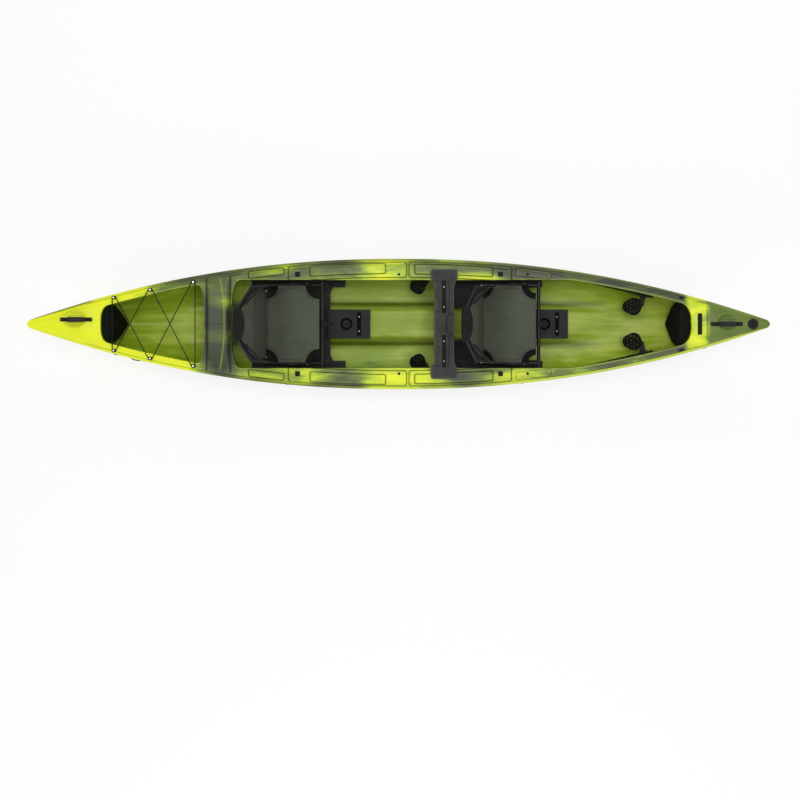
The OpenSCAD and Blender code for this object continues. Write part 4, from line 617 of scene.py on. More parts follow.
def deck_relief(x, y):
    """Height added to the deck, the share of shadow line and the share of lighter edge there: Gaussian grooves
    along the panels' outlines, bridge edges and ridge, two oval scoops with ribs, and the bow's slot beside a
    raised bar. The shadow lines and the darker scoops and slot are painted shade; the lighter panel rims,
    ridge and scoop rims are painted highlight, and the raised bar is painted lighter."""
    out = np.abs(y)
    in_from_edge = half_beam(x) - out
    lift, groove, brightening = np.zeros_like(y), np.zeros_like(y), np.zeros_like(y)
    # side panels
    for x0, *rest in PANELS:
        d = rounded_box(x, in_from_edge, x0, *rest)
        line = bell(d, PANEL_LINE) * (0.5 if x0 > FAINT_FROM else 1.0)
        lift, groove = lift - 0.0024 * line, np.maximum(groove, line)
        # painted highlight just inside each panel's outline
        brightening = np.maximum(brightening, 0.25 * bell(d + 0.006, 0.003))
    # bridge edges and ridge
    for x0 in (WELL_FORE + 0.014, COCKPIT_AFT - 0.006):
        line = bell(x - x0, 0.0055) * ease((0.315 - out) / 0.03)
        lift, groove = lift - 0.003 * line, np.maximum(groove, line)
    ridge = bell(x + 1.078 + 0.35 * y ** 2, 0.005) * ease((0.30 - out) / 0.04)
    # painted highlight along the ridge
    lift, brightening = lift + 0.002 * ridge, np.maximum(brightening, 0.45 * ridge)
    # scoops and their ribs
    for cx, cy, rx, ry in SCOOPS:
        d = (np.hypot((x - cx) / rx, (y - cy) / ry) - 1) * ry
        within = 1 - ease((d + 0.012) / 0.012)
        rib = bell((y - cy + RIB / 2) % RIB - RIB / 2, 0.0024) * within
        lift = lift - 0.008 * within - 0.0015 * rib
        # painted shadow round the rim, between the ribs and inside the scoop; painted highlight outside its
        # rim
        groove = most(groove, 0.35 * bell(d - 0.001, 0.0028), 0.55 * rib, 0.22 * within)
        brightening = np.maximum(brightening, 0.12 * bell(d - 0.007, 0.004))
    # bow line, bar and slot
    across = bell(x - BOW_LINE, 0.0022) * ease((0.098 - out) / 0.01)
    bar = 1 - ease(rounded_box(x, y, *BAR, -0.068, 0.068, 0.008) / 0.004 + 0.5)
    slot = 1 - ease(rounded_box(x, y, *SLOT, -0.066, 0.066, 0.006) / 0.003 + 0.5)
    # painted shade in the slot and along the bow line; the raised bar painted lighter
    lift = lift + 0.004 * bar - 0.010 * slot - 0.002 * across
    return lift, most(groove, 1.25 * slot, 0.8 * across), np.maximum(brightening, 0.9 * bar * (1 - slot))


def build_deck():
    """Each side is one sheet from the rail's foot over the rail and deck to the opening's lip and back
    beneath. All drops shrink with s where the deck is narrower than FULL_HALF."""
    x = deck_stations()[:, None]
    b, o = half_beam(x), opening_half(x)
    s = np.minimum(1, b / FULL_HALF)
    top, foot_z = sheer(x), seam(x) + 0.0003
    # the rail: its outer rounding painted dark as shade in stretches to port (1) and starboard (-1), a little
    # lighter on both sides, and lime on the starboard bow as the camouflage's band
    rail = np.array(RAIL_SECTION) / 1000
    number = np.arange(len(rail))
    inner = number > 9
    over_y, over_z = b - rail[:, 0] * s, top - rail[:, 1] * s
    # a painted shadow line in the rail's notch, along most of its length
    rail_line = np.isin(number, (7, 8)) * ease((1.95 - np.abs(x)) / 0.05)
    outer_face = np.array([1, 1, 1, 0.9, 0.7, 0.4] + [0] * (len(rail) - 6))
    broad_face = (number < 7) * 1.5
    dark = {1: np.maximum(0.6 * ease((x + 1.7) / 0.4) * ease((0.5 - x) / 0.5),
                          0.85 * ease((x + 2.27) / 0.02) * ease((-1.86 - x) / 0.06)),
            -1: 0.75 * ease((x + 1.2) / 0.12) * ease((-0.3 - x) / 0.25)}
    bright = {1: 0.25 * outer_face, -1: np.maximum(0.25 * outer_face, broad_face * ease((x - 0.45) / 0.4))}
    # the deck, raised on the bridge and at the ends and rounded at the opening
    shoulder = b - RAIL * s
    y = mix(shoulder, o, np.linspace(0, 1, 46)[None, 1:] ** 0.95)
    bridge = BRIDGE_RISE * ease((x - WELL_FORE - 0.008) / 0.026) * ease((COCKPIT_AFT - x - 0.004) / 0.026)
    bridge = bridge * (1 - unit(y / (b - RAIL)) ** 4)
    ends = END_RISE * s * ease(np.maximum(x - COCKPIT_FORE, WELL_AFT - x) / 0.150)
    ends = ends * (1 - unit(y / np.maximum(0.001, shoulder)) ** 2)
    z = top - DROP * s + bridge + ends
    to_edge = np.where(o > 0, (y - o) / EDGE_ROUND, 9.0)
    z = z - 0.004 * np.where(to_edge < 1, 1 - np.sqrt(1 - (1 - unit(to_edge)) ** 2), 0)
    # painted highlight along the opening's rounded lip
    brightened = np.where(to_edge < 3, 0.6 * bell(to_edge - 0.9, 0.6), 0)
    # the lip and the underside
    edge_y, low_z = y[:, -1:], z[:, -1:] - np.where(o > 0, LIP, 0.018 * s)
    thick = np.where(o > 0, WALL, 0.014)
    under_y = np.hstack([edge_y, mix(edge_y, shoulder, 0.04), shoulder, b - 0.020 * s, b - 0.012 * s,
                         b - 0.012 * s])
    under_z = np.hstack([low_z, low_z, top - (DROP + thick) * s, top - WALL * s * 1.3, top - 0.020 * s,
                         foot_z])
    all_y = np.hstack([b, over_y, y, under_y])
    face = grid_quads(*all_y.shape, wrap=True)
    parts, grooves, brightening_marks = [], [], []
    for side in (1, -1):
        lift, groove, brightening = deck_relief(np.broadcast_to(x, y.shape), side * y)
        rail_lift, rail_groove, rail_brightening = deck_relief(np.broadcast_to(x, over_y.shape), side * over_y)
        all_z = np.hstack([foot_z, over_z + rail_lift * inner * s, z + lift * s, under_z])
        parts.append((grid(x, side * all_y, all_z).reshape(-1, 3), face[:, ::-side]))
        rail_groove = most(rail_line, outer_face * dark[side], rail_groove * inner)
        rail_brightening = np.maximum(bright[side], rail_brightening * inner)
        grooves.append(np.hstack([0 * b, rail_groove, groove, 0 * under_y]))
        brightening_marks.append(np.hstack([0 * b, rail_brightening, np.maximum(brightening, brightened), 0 * under_y]))
    piece = quad_mesh("deck", *join(parts), "hull", "deck_plastic", ["deck_moulding"])
    add_marks(piece, groove=grooves, edge=brightening_marks)


build_hull()
build_deck()

# Seats, measured from each back hinge
HINGE_Z, TUBE, BACK_TUBE = 0.285, 0.011, 0.010
HINGES = {"rear": -0.830, "front": 0.518}
CORNER_UP, TOP_UP, SHOULDER_X, TOP_BACK, BACK_HALF, TOP_HALF = 0.265, 0.363, -0.0515, 0.066, 0.2197, 0.092
STRAP, RIBBON, CLOTH, SEAM = 0.025, 0.0025, 0.0022, 0.0018
CLOTH_FRAMES, PRESSURE = 20, 4.0


def tube_z(x):
    """Height of the seat's side tubes, which rise evenly to the front."""
    return mix(0.245, 0.300, (x + 0.015) / 0.370)


def past_corner(up):
    """0 up to an upright's corner, then evenly to 1 at its top; the upright leans back and in by it."""
    return np.maximum(0, up - CORNER_UP) / (TOP_UP - CORNER_UP)


def upright_x(up):
    return SHOULDER_X * np.minimum(1, up / CORNER_UP) - TOP_BACK * past_corner(up)


def upright_y(up):
    return mix(BACK_HALF, TOP_HALF, past_corner(up))


def spline(points, count):
    """A smooth line through points: cubic pieces whose slope at a point is half the step between its
    neighbours."""
    p = np.asarray(points, float)
    p = np.vstack([2 * p[0] - p[1], p, 2 * p[-1] - p[-2]])
    t = np.linspace(0, len(p) - 3, count)
    k = np.minimum(t.astype(int), len(p) - 4)
    u = (t - k)[:, None]
    a, b, c, d = p[k], p[k + 1], p[k + 2], p[k + 3]
    return b + 0.5 * u * (c - a + u * (2 * a - 5 * b + 4 * c - d + u * (3 * (b - c) + d - a)))


def swell_fabric(piece, held, cap):
    """Blow the closed piece up a little as cloth, its held points pinned; no point goes further than cap."""
    mesh, scene = piece.data, bpy.context.scene
    start = np.empty(len(mesh.vertices) * 3, np.float32)
    mesh.vertices.foreach_get("co", start)
    group = piece.vertex_groups.new(name="held")
    group.add([int(i) for i in np.flatnonzero(held)], 1.0, "REPLACE")
    cloth = piece.modifiers.new("cloth", "CLOTH")
    cloth.settings.use_pressure = True
    cloth.settings.uniform_pressure_force = PRESSURE
    cloth.settings.effector_weights.gravity = 0
    cloth.settings.vertex_group_mass = "held"
    cloth.point_cache.frame_start, cloth.point_cache.frame_end = 1, CLOTH_FRAMES
    for f in range(1, CLOTH_FRAMES + 1):
        scene.frame_set(f)
    made = piece.evaluated_get(bpy.context.evaluated_depsgraph_get())
    moved = np.empty_like(start)
    made.data.vertices.foreach_get("co", moved)
    piece.modifiers.remove(cloth)
    piece.vertex_groups.remove(group)
    scene.frame_set(1)
    step = (moved - start).reshape(-1, 3)
    length = np.linalg.norm(step, axis=1, keepdims=True)
    step = step * np.minimum(1, cap / np.maximum(length, 1e-9))
    mesh.vertices.foreach_set("co", (start.reshape(-1, 3) + step).ravel())
    mesh.update()


def pad(piece, held, cap, fill, layers=1, **marks):
    """Swell, mark and smooth a padded piece; held and the marks are for each of its layers of points."""
    swell_fabric(piece, np.tile(held.ravel(), layers), cap)
    add_marks(piece, layers, **marks)
    made = piece.modifiers.new("smooth", "SUBSURF")
    made.levels = made.render_levels = 1


def seat_pan(end, x0):
    """Pan: a sheet over the tubes that sags by fourth powers of both parameters; quarter circles bite its
    corners, and the front ones carry a wider dark patch."""
    aft, fore, half, r_aft, r_fore, patch = -0.010, 0.338, 0.243, 0.078, 0.050, 0.079
    arc = np.sin(np.linspace(0, np.pi / 2, 14))
    straight = np.linspace(aft + r_aft, fore - r_fore, 42)[1:-1]
    x = np.concatenate([aft + r_aft * arc, straight, (fore - r_fore * arc)[::-1]])[:, None]
    bite = sum(np.sqrt(np.maximum(0, r ** 2 - d ** 2)) for r, d in ((r_aft, x - aft), (r_fore, fore - x)))
    v = np.sin(np.linspace(-np.pi / 2, np.pi / 2, 91))[None, :]
    y = v * (half - bite)
    t = (x - aft) / (fore - aft)
    body = (1 - np.abs(v) ** 4) * (1 - np.abs(2 * t - 1) ** 4)
    bed = tube_z(x) + TUBE + 0.0003
    top = bed - 0.010 * body + 0.009 * mix(0.4, 1, body)
    sheet = closed_sheet(grid(x + x0, y, top), grid(x + x0, y, bed - 0.013 * body))
    from_side = half - np.abs(y)
    corner = np.minimum(np.hypot(x - aft, from_side) - r_aft, np.hypot(x - fore, from_side) - patch)
    edge = least(from_side, x - aft, fore - x)
    bound = np.maximum(1 - ease((corner - 0.009) / 0.002), 0.6 * (1 - ease((edge - 0.003) / 0.002)))
    gap = np.minimum(corner, edge)
    piece = quad_mesh(end + "_pan_fabric", *sheet, end + "_seat", "seat_fabric", [end + "_seat_pan"])
    # painted shade: the pan darker towards the back, which shades it
    pad(piece, gap < 0.003, 0.003, 0.35, 2, binding=bound, stitch=bell(gap - 0.020, SEAM),
        fade=0.75 * ease((0.25 - x) / 0.22) + 0 * y)


def seat_back(end, x0):
    """Back: a sheet in front of the uprights and as wide, bowed back as a sine up and a cubic across."""
    low_up, top_up = 0.046, 0.362
    t = np.linspace(0, 1, 50)[:, None]
    up = mix(low_up, top_up, t)
    wide = upright_y(up) + 0.006
    v = np.sin(np.linspace(-np.pi / 2, np.pi / 2, 61))[None, :]
    y = v * wide
    edge = 1 - np.abs(v) ** 3
    back = upright_x(up) + BACK_TUBE + 0.0028 - 0.020 * edge * np.sin(np.pi * t)
    front = back + 0.009 * mix(0.5, 1, edge * np.sin(np.pi * t) ** 0.5)
    sheet = closed_sheet(grid(front + x0, -y, up + HINGE_Z), grid(back + x0, -y, up + HINGE_Z))
    side_gap, end_gap = (1 - np.abs(v)) * wide, np.minimum(up - low_up, top_up - up)
    gap = np.minimum(side_gap, end_gap)
    bound = 1 - ease(np.minimum(side_gap - 0.013, end_gap - 0.003) / 0.002)
    piece = quad_mesh(end + "_back_fabric", *sheet, end + "_back", "seat_fabric", [end + "_back_sling"])
    # painted shade: the whole back darker, most of all low down by the pan
    pad(piece, gap < 0.003, 0.003, 0.35, 2, binding=bound, stitch=bell(gap - 0.022, SEAM),
        fade=mix(0.45, 0.95, ease((0.15 - up) / 0.11)) + 0 * y)


def head_pad(end, x0):
    """Head pad: a rounded wedge section carried along the top bar, drawn in at both ends like a lens."""
    key = spline([(-0.033, 0.006), (-0.024, 0.022), (-0.008, 0.025), (0.016, 0.020), (0.034, 0.014),
                  (0.041, 0.003), (0.034, -0.008), (0.018, -0.026), (0.004, -0.032), (-0.010, -0.028),
                  (-0.024, -0.012), (-0.033, 0.006)], 49)[None, :-1]
    t = np.sin(np.linspace(-np.pi / 2, np.pi / 2, 41))[:, None]
    width = np.sqrt(1 - 0.84 * t ** 2) * (1 - np.abs(t) ** 14 * 0.4)
    depth = 1 - 0.28 * t ** 2 - 0.35 * np.abs(t) ** 14
    x = upright_x(TOP_UP) + key[..., 0] * width * 0.98 - 0.008 * t ** 2
    z = HINGE_Z + TOP_UP - 0.001 + key[..., 1] * depth * 0.98 - 0.004 * t ** 2
    from_seam = np.abs(t) - 0.93 + 0 * x
    points, quads = grid(x + x0, 0.107 * t, z), capped_tube(*x.shape)[:, ::-1]
    piece = quad_mesh(end + "_head_cushion", points, quads, end + "_back", "wing_fabric", [end + "_head_pad"])
    pad(piece, np.abs(from_seam) < 0.025, 0.004, 0.7, stitch=bell(from_seam, 0.02))


def both_sides(outer, inner, x0, turn):
    """A closed sheet to port of a back and its mirror image to starboard; turn is the port one's order of
    corners."""
    parts = []
    for side in (1, -1):
        points, quads = closed_sheet(*(g * [1, side, 1] + [x0, 0, HINGE_Z] for g in (outer, inner)))
        parts.append((points, quads[:, ::side * turn]))
    return join(parts)


def fold_flat(piece, end, x0):
    """Give a piece its own copy of its mesh."""
    end + "_backrest_fold"
    x0 + BACK_TUBE
    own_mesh(piece)


def seat_wings(end, x0):
    """Wings: sheets ruled from each upright to a curved front edge, with a slight outward belly."""
    t = np.linspace(0, 1, 56)
    up = mix(0.056, 0.349, t)
    rear = np.stack([upright_x(up) + 0.004, upright_y(up) + 0.0072, up], -1)
    front = spline([(0.010, 0.2290, 0.056), (0.060, 0.2290, 0.095), (0.073, 0.2290, 0.172),
                    (0.064, 0.2290, 0.246), (0.036, 0.2275, 0.276), (-0.028, 0.1960, 0.304),
                    (-0.072, 0.1480, 0.330), (-0.098, 0.1080, 0.350)], len(t))
    s = np.linspace(0, 1, 22)
    face = mix(rear[:, None, :], front[:, None, :], s[None, :, None])
    belly = 0.004 * np.sin(np.pi * s) * np.sin(np.pi * t)[:, None]
    sheets = both_sides(face + grid(0, belly + CLOTH, 0), face - [0, CLOTH, 0], x0, -1)
    piece = quad_mesh(end + "_wing_fabric", *sheets, end + "_back", "wing_fabric", [end + "_back_wings"])
    gap = (1 - s) * np.linalg.norm(front - rear, axis=1)[:, None]
    add_marks(piece, 4, binding=1 - ease((gap - 0.012) / 0.002), stitch=bell(gap - 0.0095, 0.0012))
    end + "_back_frame"
    fold_flat(piece, end, x0)


def hand_loops(end, x0):
    """Hand loops: webbing along a smooth line from each wing's shoulder to the head pad."""
    path = spline([(0.058, 0.2300, 0.254), (0.046, 0.2290, 0.286), (0.010, 0.2080, 0.319),
                   (-0.034, 0.1640, 0.345), (-0.074, 0.1180, 0.358)], 30)
    run = direction(np.gradient(path, axis=0))
    over = direction(np.cross(run, [0.0, 1.0, 0.25]))
    flat = np.cross(run, over)[:, None, :] * CLOTH
    strip = path[:, None, :] + over[:, None, :] * np.linspace(-0.5, 0.5, 5)[None, :, None] * 0.018
    sheets = both_sides(strip + flat, strip - flat, x0, 1)
    piece = quad_mesh(end + "_hand_loops", *sheets, end + "_back", "webbing")
    fold_flat(piece, end, x0)


def back_sleeves(end, x0):
    """Sleeves: cloth rings round both uprights, a closed profile of two rims and two faces turned about each
    tube."""
    low, high, steps, around = 0.056, 0.262, 24, 21
    up = np.concatenate([np.linspace(low, high, steps), np.linspace(high, low, steps)])[None, :]
    radius = np.repeat([BACK_TUBE + 0.0017, BACK_TUBE + 0.0003], steps)[None, :] + 0.0005 * np.sin(up * 160)
    a = np.linspace(0, 2 * np.pi, around)[:, None]
    parts = []
    for side in (1, -1):
        x, y = upright_x(up) + radius * np.cos(a) + x0, side * BACK_HALF + radius * np.sin(a)
        parts.append((grid(x, y, up + HINGE_Z).reshape(-1, 3), grid_quads(around, 2 * steps, wrap=True)))
    quad_mesh(end + "_back_sleeves", *join(parts), end + "_back", "wing_fabric")


def ribbon(a, b, width, thick, count, sunk=0.0):
    """Webbing from a to b: a strip across the line in the plane of x and z, crowned along y; outer and inner
    face."""
    run = direction(b - a)
    across = np.array([-run[2], 0, run[0]])
    s = np.linspace(-0.5, 0.5, 7)[None, :, None]
    face = mix(a, b, np.linspace(0, 1, count)[:, None])[:, None, :] + across * (s * width)
    crown = thick * (0.85 + 0.15 * (1 - (2 * s) ** 2))
    return face + np.array([0, 1, 0]) * crown, face - [0, sunk, 0]


def seat_straps(end, x0):
    """Straps from the wings to the seat frame; each upper one has a slider buckle of three bars between two
    sides."""
    top, foot = np.array([0.050, 0.2315, 0.525]), np.array([0.351, 0.2623, 0.312])
    lower = np.array([0.068, 0.2315, 0.415]), np.array([0.262, 0.2583, 0.310])
    strips = [(top, foot, STRAP, RIBBON, 31), (*lower, STRAP, RIBBON, 31)]
    # the buckle's three bars, then its two sides
    bars = (0.36, 0.385, 0.036, 0.0045), (0.41, 0.43, 0.032, 0.0052), (0.455, 0.48, 0.036, 0.0045)
    for f0, f1, wide, lift in bars:
        strips.append((mix(top, foot, f0), mix(top, foot, f1), wide, lift, 5, 0.0015))
    run = direction(foot - top)
    for e in (-0.0160, 0.0160):
        aside = np.array([-run[2], 0, run[0]]) * e
        strips.append((mix(top, foot, 0.36) + aside, mix(top, foot, 0.48) + aside, 0.005, 0.0055, 5, 0.0015))
    parts, index = [], []
    for side in (1, -1):
        for k, strip in enumerate(strips):
            points, quads = closed_sheet(*(g * [1, side, 1] + [x0, 0, 0] for g in ribbon(*strip)))
            parts.append((points, quads[:, ::-side]))
            index.append(np.full(len(quads), 0 if k < 2 else 1))
    piece = quad_mesh(end + "_straps", *join(parts), None, "webbing", [end + "_seat_straps"],
                      [looks["webbing"], looks["black_plastic"]], np.concatenate(index), smooth=False)
    start, finish = (tuple(p * [1, 0, 1] + [x0, 0, 0]) for p in (foot, top))
    end + "_seat"
    end + "_back"
    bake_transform(piece)


def pull_tab(end, x0):
    """Pull tab: webbing from the front tube down and forward along a cubic drop, flared where it wraps the
    tube."""
    t = np.linspace(0, 1, 25)[:, None]
    v = np.linspace(-0.5, 0.5, 9)[None, :]
    x = x0 + 0.355 + 0.066 * t
    y = v * mix(0.046, 0.024, ease(t / 0.45)) * np.sqrt(1 - 0.8 * unit((t - 0.9) / 0.1) ** 2)
    z = 0.300 + TUBE + 0.0012 - 0.034 * t ** 2 * (1.5 - 0.5 * t)
    crown = 0.0004 * np.abs(2 * v) ** 4
    sheet = closed_sheet(grid(x, y, z + 0.0032 - crown), grid(x, y, z - crown))
    quad_mesh(end + "_pull_tab", *sheet, end + "_seat", "webbing")


for end, x0 in HINGES.items():
    for build in (seat_pan, seat_back, head_pad, seat_wings, hand_loops, back_sleeves, seat_straps, pull_tab):
        build(end, x0)


# Crossbar, carry handles and cup holders
def build_thwart():
    """Crossbar: a plate whose eased flare widens it at both ends, with rounded edges, track beds, a
    five-sided recess and creases; below it a beam between the side decks. Lines are absolute near the middle
    and stretch to the edge."""
    x0, top, low, end, corner, plain = 0.282, 0.3537, 0.3337, 0.340, 0.018, 0.050
    # lines along and across, doubled at the walls of the track beds
    (track_low, track_high), (bed_in, bed_out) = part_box("thwart_tracks"), (0.0677, 0.2678)
    bed, depth = (track_high[0] - track_low[0]) / 2 + 0.0004, track_high[2] - track_low[2] + 0.0004
    wall, hair = 0.0006, 1e-5
    fixed = np.concatenate([np.linspace(-plain, plain, 34), [-bed, bed, -bed - wall, bed + wall],
                            [0.0285, 0.0300, 0.0315]])
    turn = np.cos(np.linspace(0, np.pi / 2, 9))[1:]
    y = np.concatenate([np.linspace(0.0, end - corner, 90), end - corner * turn,
                        [bed_in, bed_out, bed_in - wall, bed_out + wall]])
    y = np.unique(np.round(np.concatenate([y, -y]), 6))[None, :]
    half = mix(0.062, 0.0835, ease((np.abs(y) - 0.226) / 0.062))
    half = half - corner * (1 - np.sqrt(1 - unit((np.abs(y) - (end - corner)) / corner) ** 2))
    fixed = np.unique(np.round(fixed, 6))[:, None] * np.ones_like(y)
    out = plain + (half - plain) * np.array([0.2, 0.4, 0.58, 0.74, 0.86, 0.94, 0.98, 1.0])[:, None]
    dx = np.vstack([-out[::-1], fixed, out])
    y = np.broadcast_to(y, dx.shape)
    aside = np.abs(y)
    # heights: rounded edges, recess, beds and creases
    to_edge = np.minimum(half - np.abs(dx), end - aside)
    z = top - 0.005 * (1 - np.sqrt(1 - (1 - unit(to_edge / 0.005)) ** 2))
    slanted = (0.022 * (aside - 0.046) - 0.020 * (dx - 0.014)) / 0.0297
    recess = most(0.014 - dx, aside - 0.066, slanted)
    z = z - 0.003 * (1 - ease(recess / 0.002 + 0.5))
    in_bed = (np.abs(dx) < bed + hair) & (aside > bed_in - hair) & (aside < bed_out + hair)
    crease = most(bell(dx - 0.030, 0.0016) * ((aside > bed_in) & (aside < bed_out)),
                  bell(aside - 0.262, 0.0022) * (dx < -0.020),
                  bell(aside - 0.074, 0.0022) * (dx < -0.016) * 0.7)
    z = np.where(in_bed, top - depth, z - 0.0012 * crease)
    under = np.where((np.abs(dx) < plain + 0.0001) & (aside < 0.261), low - 0.022, low)
    sheet = closed_sheet(grid(dx + x0, y, z), grid(dx + x0, y, under))
    piece = quad_mesh("crossbar", *sheet, "hull", "grey_plastic", ["thwart"])
    # painted shade in the creases, round the recess and in the track beds; painted highlight along the rounded
    # edges
    mark = most(crease, bell(recess, 0.0018), in_bed * 1.0)
    brightening = bell(to_edge - 0.004, 0.003) * 0.6
    add_marks(piece, groove=[mark, 0 * mark], edge=[brightening, 0 * brightening])


def build_handle(end):
    """Carry handle: flat webbing along tab, arch and tab, and a grip whose superellipse section swells in
    ribs."""
    low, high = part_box(end + "_handle_strap")
    middle, seat = (np.array(low) + np.array(high)) / 2, low[2]
    length, width, rise = high[0] - low[0], high[1] - low[1], high[2] - seat - 0.003
    chord = length - 0.056
    arc = (chord ** 2 / 4 + rise ** 2) / (2 * rise)
    angle = np.arcsin(chord / 2 / arc)
    a = np.linspace(-angle, angle, 41)
    tab = np.linspace(chord / 2, length / 2, 8)[1:]
    x = np.concatenate([-tab[::-1], arc * np.sin(a), tab])[:, None]
    z = np.concatenate([0 * tab, rise - arc + arc * np.cos(a), 0 * tab])[:, None]
    lean = np.concatenate([0 * tab, a, 0 * tab])[:, None]
    v = np.linspace(-0.5, 0.5, 9)[None, :]
    end_round = np.sqrt(1 - unit((np.abs(x) - length / 2 + 0.009) / 0.009) ** 2 * 0.9)
    y = v * width * mix(0.55, 1.0, end_round) + middle[1]
    thick = 0.0042 - 0.0009 * np.abs(2 * v) ** 6
    sheet = closed_sheet(*(grid(x + np.sin(lean) * h + middle[0], y, z + np.cos(lean) * h + seat)
                           for h in (thick, 0 * thick)))
    quad_mesh(end + "_handle_webbing", *sheet, "hull", "webbing", [end + "_handle_strap"])
    # the grip
    t = np.linspace(-1, 1, 101)[:, None]
    lean = t * angle * 0.72
    rib = np.cos(t * np.pi * 11) * (1 - t ** 8)
    b = np.linspace(0, 2 * np.pi, 29)[None, :-1]
    square_cos, square_sin = (np.sign(f(b)) * np.abs(f(b)) ** 0.5 for f in (np.cos, np.sin))
    round_off = 1 - 0.35 * np.abs(t) ** 14
    across = (width / 2 + 0.003) * square_cos * (1 + 0.03 * rib) * round_off
    r = arc + 0.0075 * square_sin * (1 + 0.16 * rib) * round_off + 0.0015
    points = grid(r * np.sin(lean) + middle[0], across + middle[1], rise - arc + r * np.cos(lean) + seat)
    piece = quad_mesh(end + "_handle_moulding", points, capped_tube(*across.shape), "hull", "black_plastic",
                      [end + "_handle_grip"])
    # painted highlight on the ribs' crests
    add_marks(piece, edge=np.maximum(rib, 0) * 0.9 + 0 * across)


# Cup profiles: radius, height over the console, painted shadow, and painted highlight on the rim and the
# raised middle
CUP_RIM = [(0.0397, -0.006, 0, 0), (0.0397, 0.0020, 0, 0), (0.0405, 0.0040, 0, 0.6),
           (0.0422, 0.0052, 0, 1), (0.0447, 0.0055, 0, 1), (0.0472, 0.0046, 0, 0.8),
           (0.0487, 0.0028, 0, 0.3), (0.0494, -0.002, 0, 0), (0.0491, -0.006, 0, 0)]
CUP_LINER = [(0.0388, -0.033, 1, 0), (0.0388, -0.012, 1, 0), (0.0375, -0.011, 1, 0),
             (0.0368, -0.013, 1, 0), (0.0355, -0.0275, 1, 0), (0.0262, -0.0285, 1, 0),
             (0.0246, -0.027, 0.8, 0), (0.0238, -0.0155, 0.2, 0.5), (0.0225, -0.0140, 0, 0.8),
             (0.0050, -0.0136, 0, 0.4), (0.0040, -0.0150, 0.5, 0), (0.0040, -0.033, 1, 0)]
# Each cup's distance from the aft end of its base
CUP_FROM_AFT = 0.610


def build_cup_rims():
    """Cup holders: a rounded rim and a liner with a raised, drained middle, both profiles turned about the
    cup."""
    a = np.linspace(0, 2 * np.pi, 73)[:, None]
    parts = ("_cup_rim", "black_plastic", CUP_RIM), ("_cup_liner", "rubber", CUP_LINER)
    for end in ("rear", "front"):
        low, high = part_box(end + "_seat_base")
        for part, slot, profile in parts:
            r, z, groove, edge = np.array(profile).T
            points = grid(low[0] + CUP_FROM_AFT + r * np.cos(a), r * np.sin(a), high[2] - 0.004 + z)
            piece = quad_mesh(end + part, points, grid_quads(len(a), len(profile), wrap=True), "hull", slot)
            add_marks(piece, groove=groove + 0 * a, edge=edge + 0 * a)


build_thwart()
build_cup_rims()
build_handle("stern")
build_handle("bow")

# Cords: routes as in the frame
def smooth_loop(points, spacing):
    """A closed line through points, resampled at even steps and softened by two rounds of 1-2-1 averages."""
    p = np.vstack([points, points[:1]])
    run = np.concatenate([[0], np.cumsum(np.linalg.norm(np.diff(p, axis=0), axis=1))])
    at = np.linspace(0, run[-1], int(run[-1] / spacing) + 1)[:-1]
    line = np.stack([np.interp(at, run, p[:, k]) for k in range(3)], -1)
    for _ in range(2):
        line = (np.roll(line, 1, 0) + 2 * line + np.roll(line, -1, 0)) / 4
    line = np.vstack([line, line[:1]])
    return line, np.linalg.norm(np.diff(line, axis=0), axis=1).sum()


def cord_loop(name, points, radius, upward, body, node, spacing, sides):
    """A round cord carried along a closed line; u runs along it in metres and v round it."""
    path, length = smooth_loop(points, spacing)
    along = np.gradient(path, axis=0)
    along[0] = along[-1] = path[1] - path[-2]
    along = direction(along)
    side = direction(np.cross(along, np.asarray(upward, float)))
    over = np.cross(side, along)
    a = np.linspace(0, 2 * np.pi, sides + 1)[None, :, None]
    ring = path[:, None, :] + radius * (np.cos(a) * side[:, None, :] + np.sin(a) * over[:, None, :])
    u, v = np.linspace(0, length, len(path))[:, None], np.linspace(0, 1, sides + 1)[None, :]
    uv = np.stack(np.broadcast_arrays(u, v), -1).reshape(-1, 2)
    piece = quad_mesh(name, ring, grid_quads(*ring.shape[:2]), body, "cord", [node], uv=uv)


def side_half(x, z):
    """Half breadth of the hull at a height, from its bilge curve."""
    m, b = bilge(x), half_beam(x) - STEP
    flat = foot_and_flat(x, b)[1]
    v = unit((seam(x) - z) / (seam(x) - keel(x)))
    return flat + (b - flat) * (1 - v ** m) ** (1 / m)


def side_axes(x, z):
    """Place and axes on the starboard side: along it, up it and out of it."""
    step = 0.001

    def place(a, b):
        return np.array([a, -side_half(np.array(a), np.array(b)), b])

    along = place(x + step, z) - place(x - step, z)
    rise = place(x, z + step) - place(x, z - step)
    along, out = direction(along), direction(np.cross(along, rise))
    return place(x, z), along, np.cross(out, along), out


TROLLEY_DROP, SHEAVE, POST, BLOCK_OUT, LINE_OUT = 0.024, 0.013, 0.0088, 0.0068, 0.0042
STERN_BLOCK, BOW_BLOCK, TROLLEY_EYE, BECKET = -1.756, 1.901, -1.890, -0.028
LINE_RADIUS = 0.0025
# The stern cord's hooks: station and distance in from the deck's edge
STERN_HOOKS = ((-1.756, 0.024), (-1.533, 0.030), (-1.268, 0.038))


def side_turn(x, r, start, stop, shift=0.0):
    """Half a turn of cord round a post that stands out of the starboard side."""
    place, along, rise, out = side_axes(x, float(seam(np.array(x))) - TROLLEY_DROP)
    a = np.radians(np.linspace(start, stop, 9))[:, None]
    return place + along * (shift + r * np.cos(a)) + rise * r * np.sin(a) + out * BLOCK_OUT


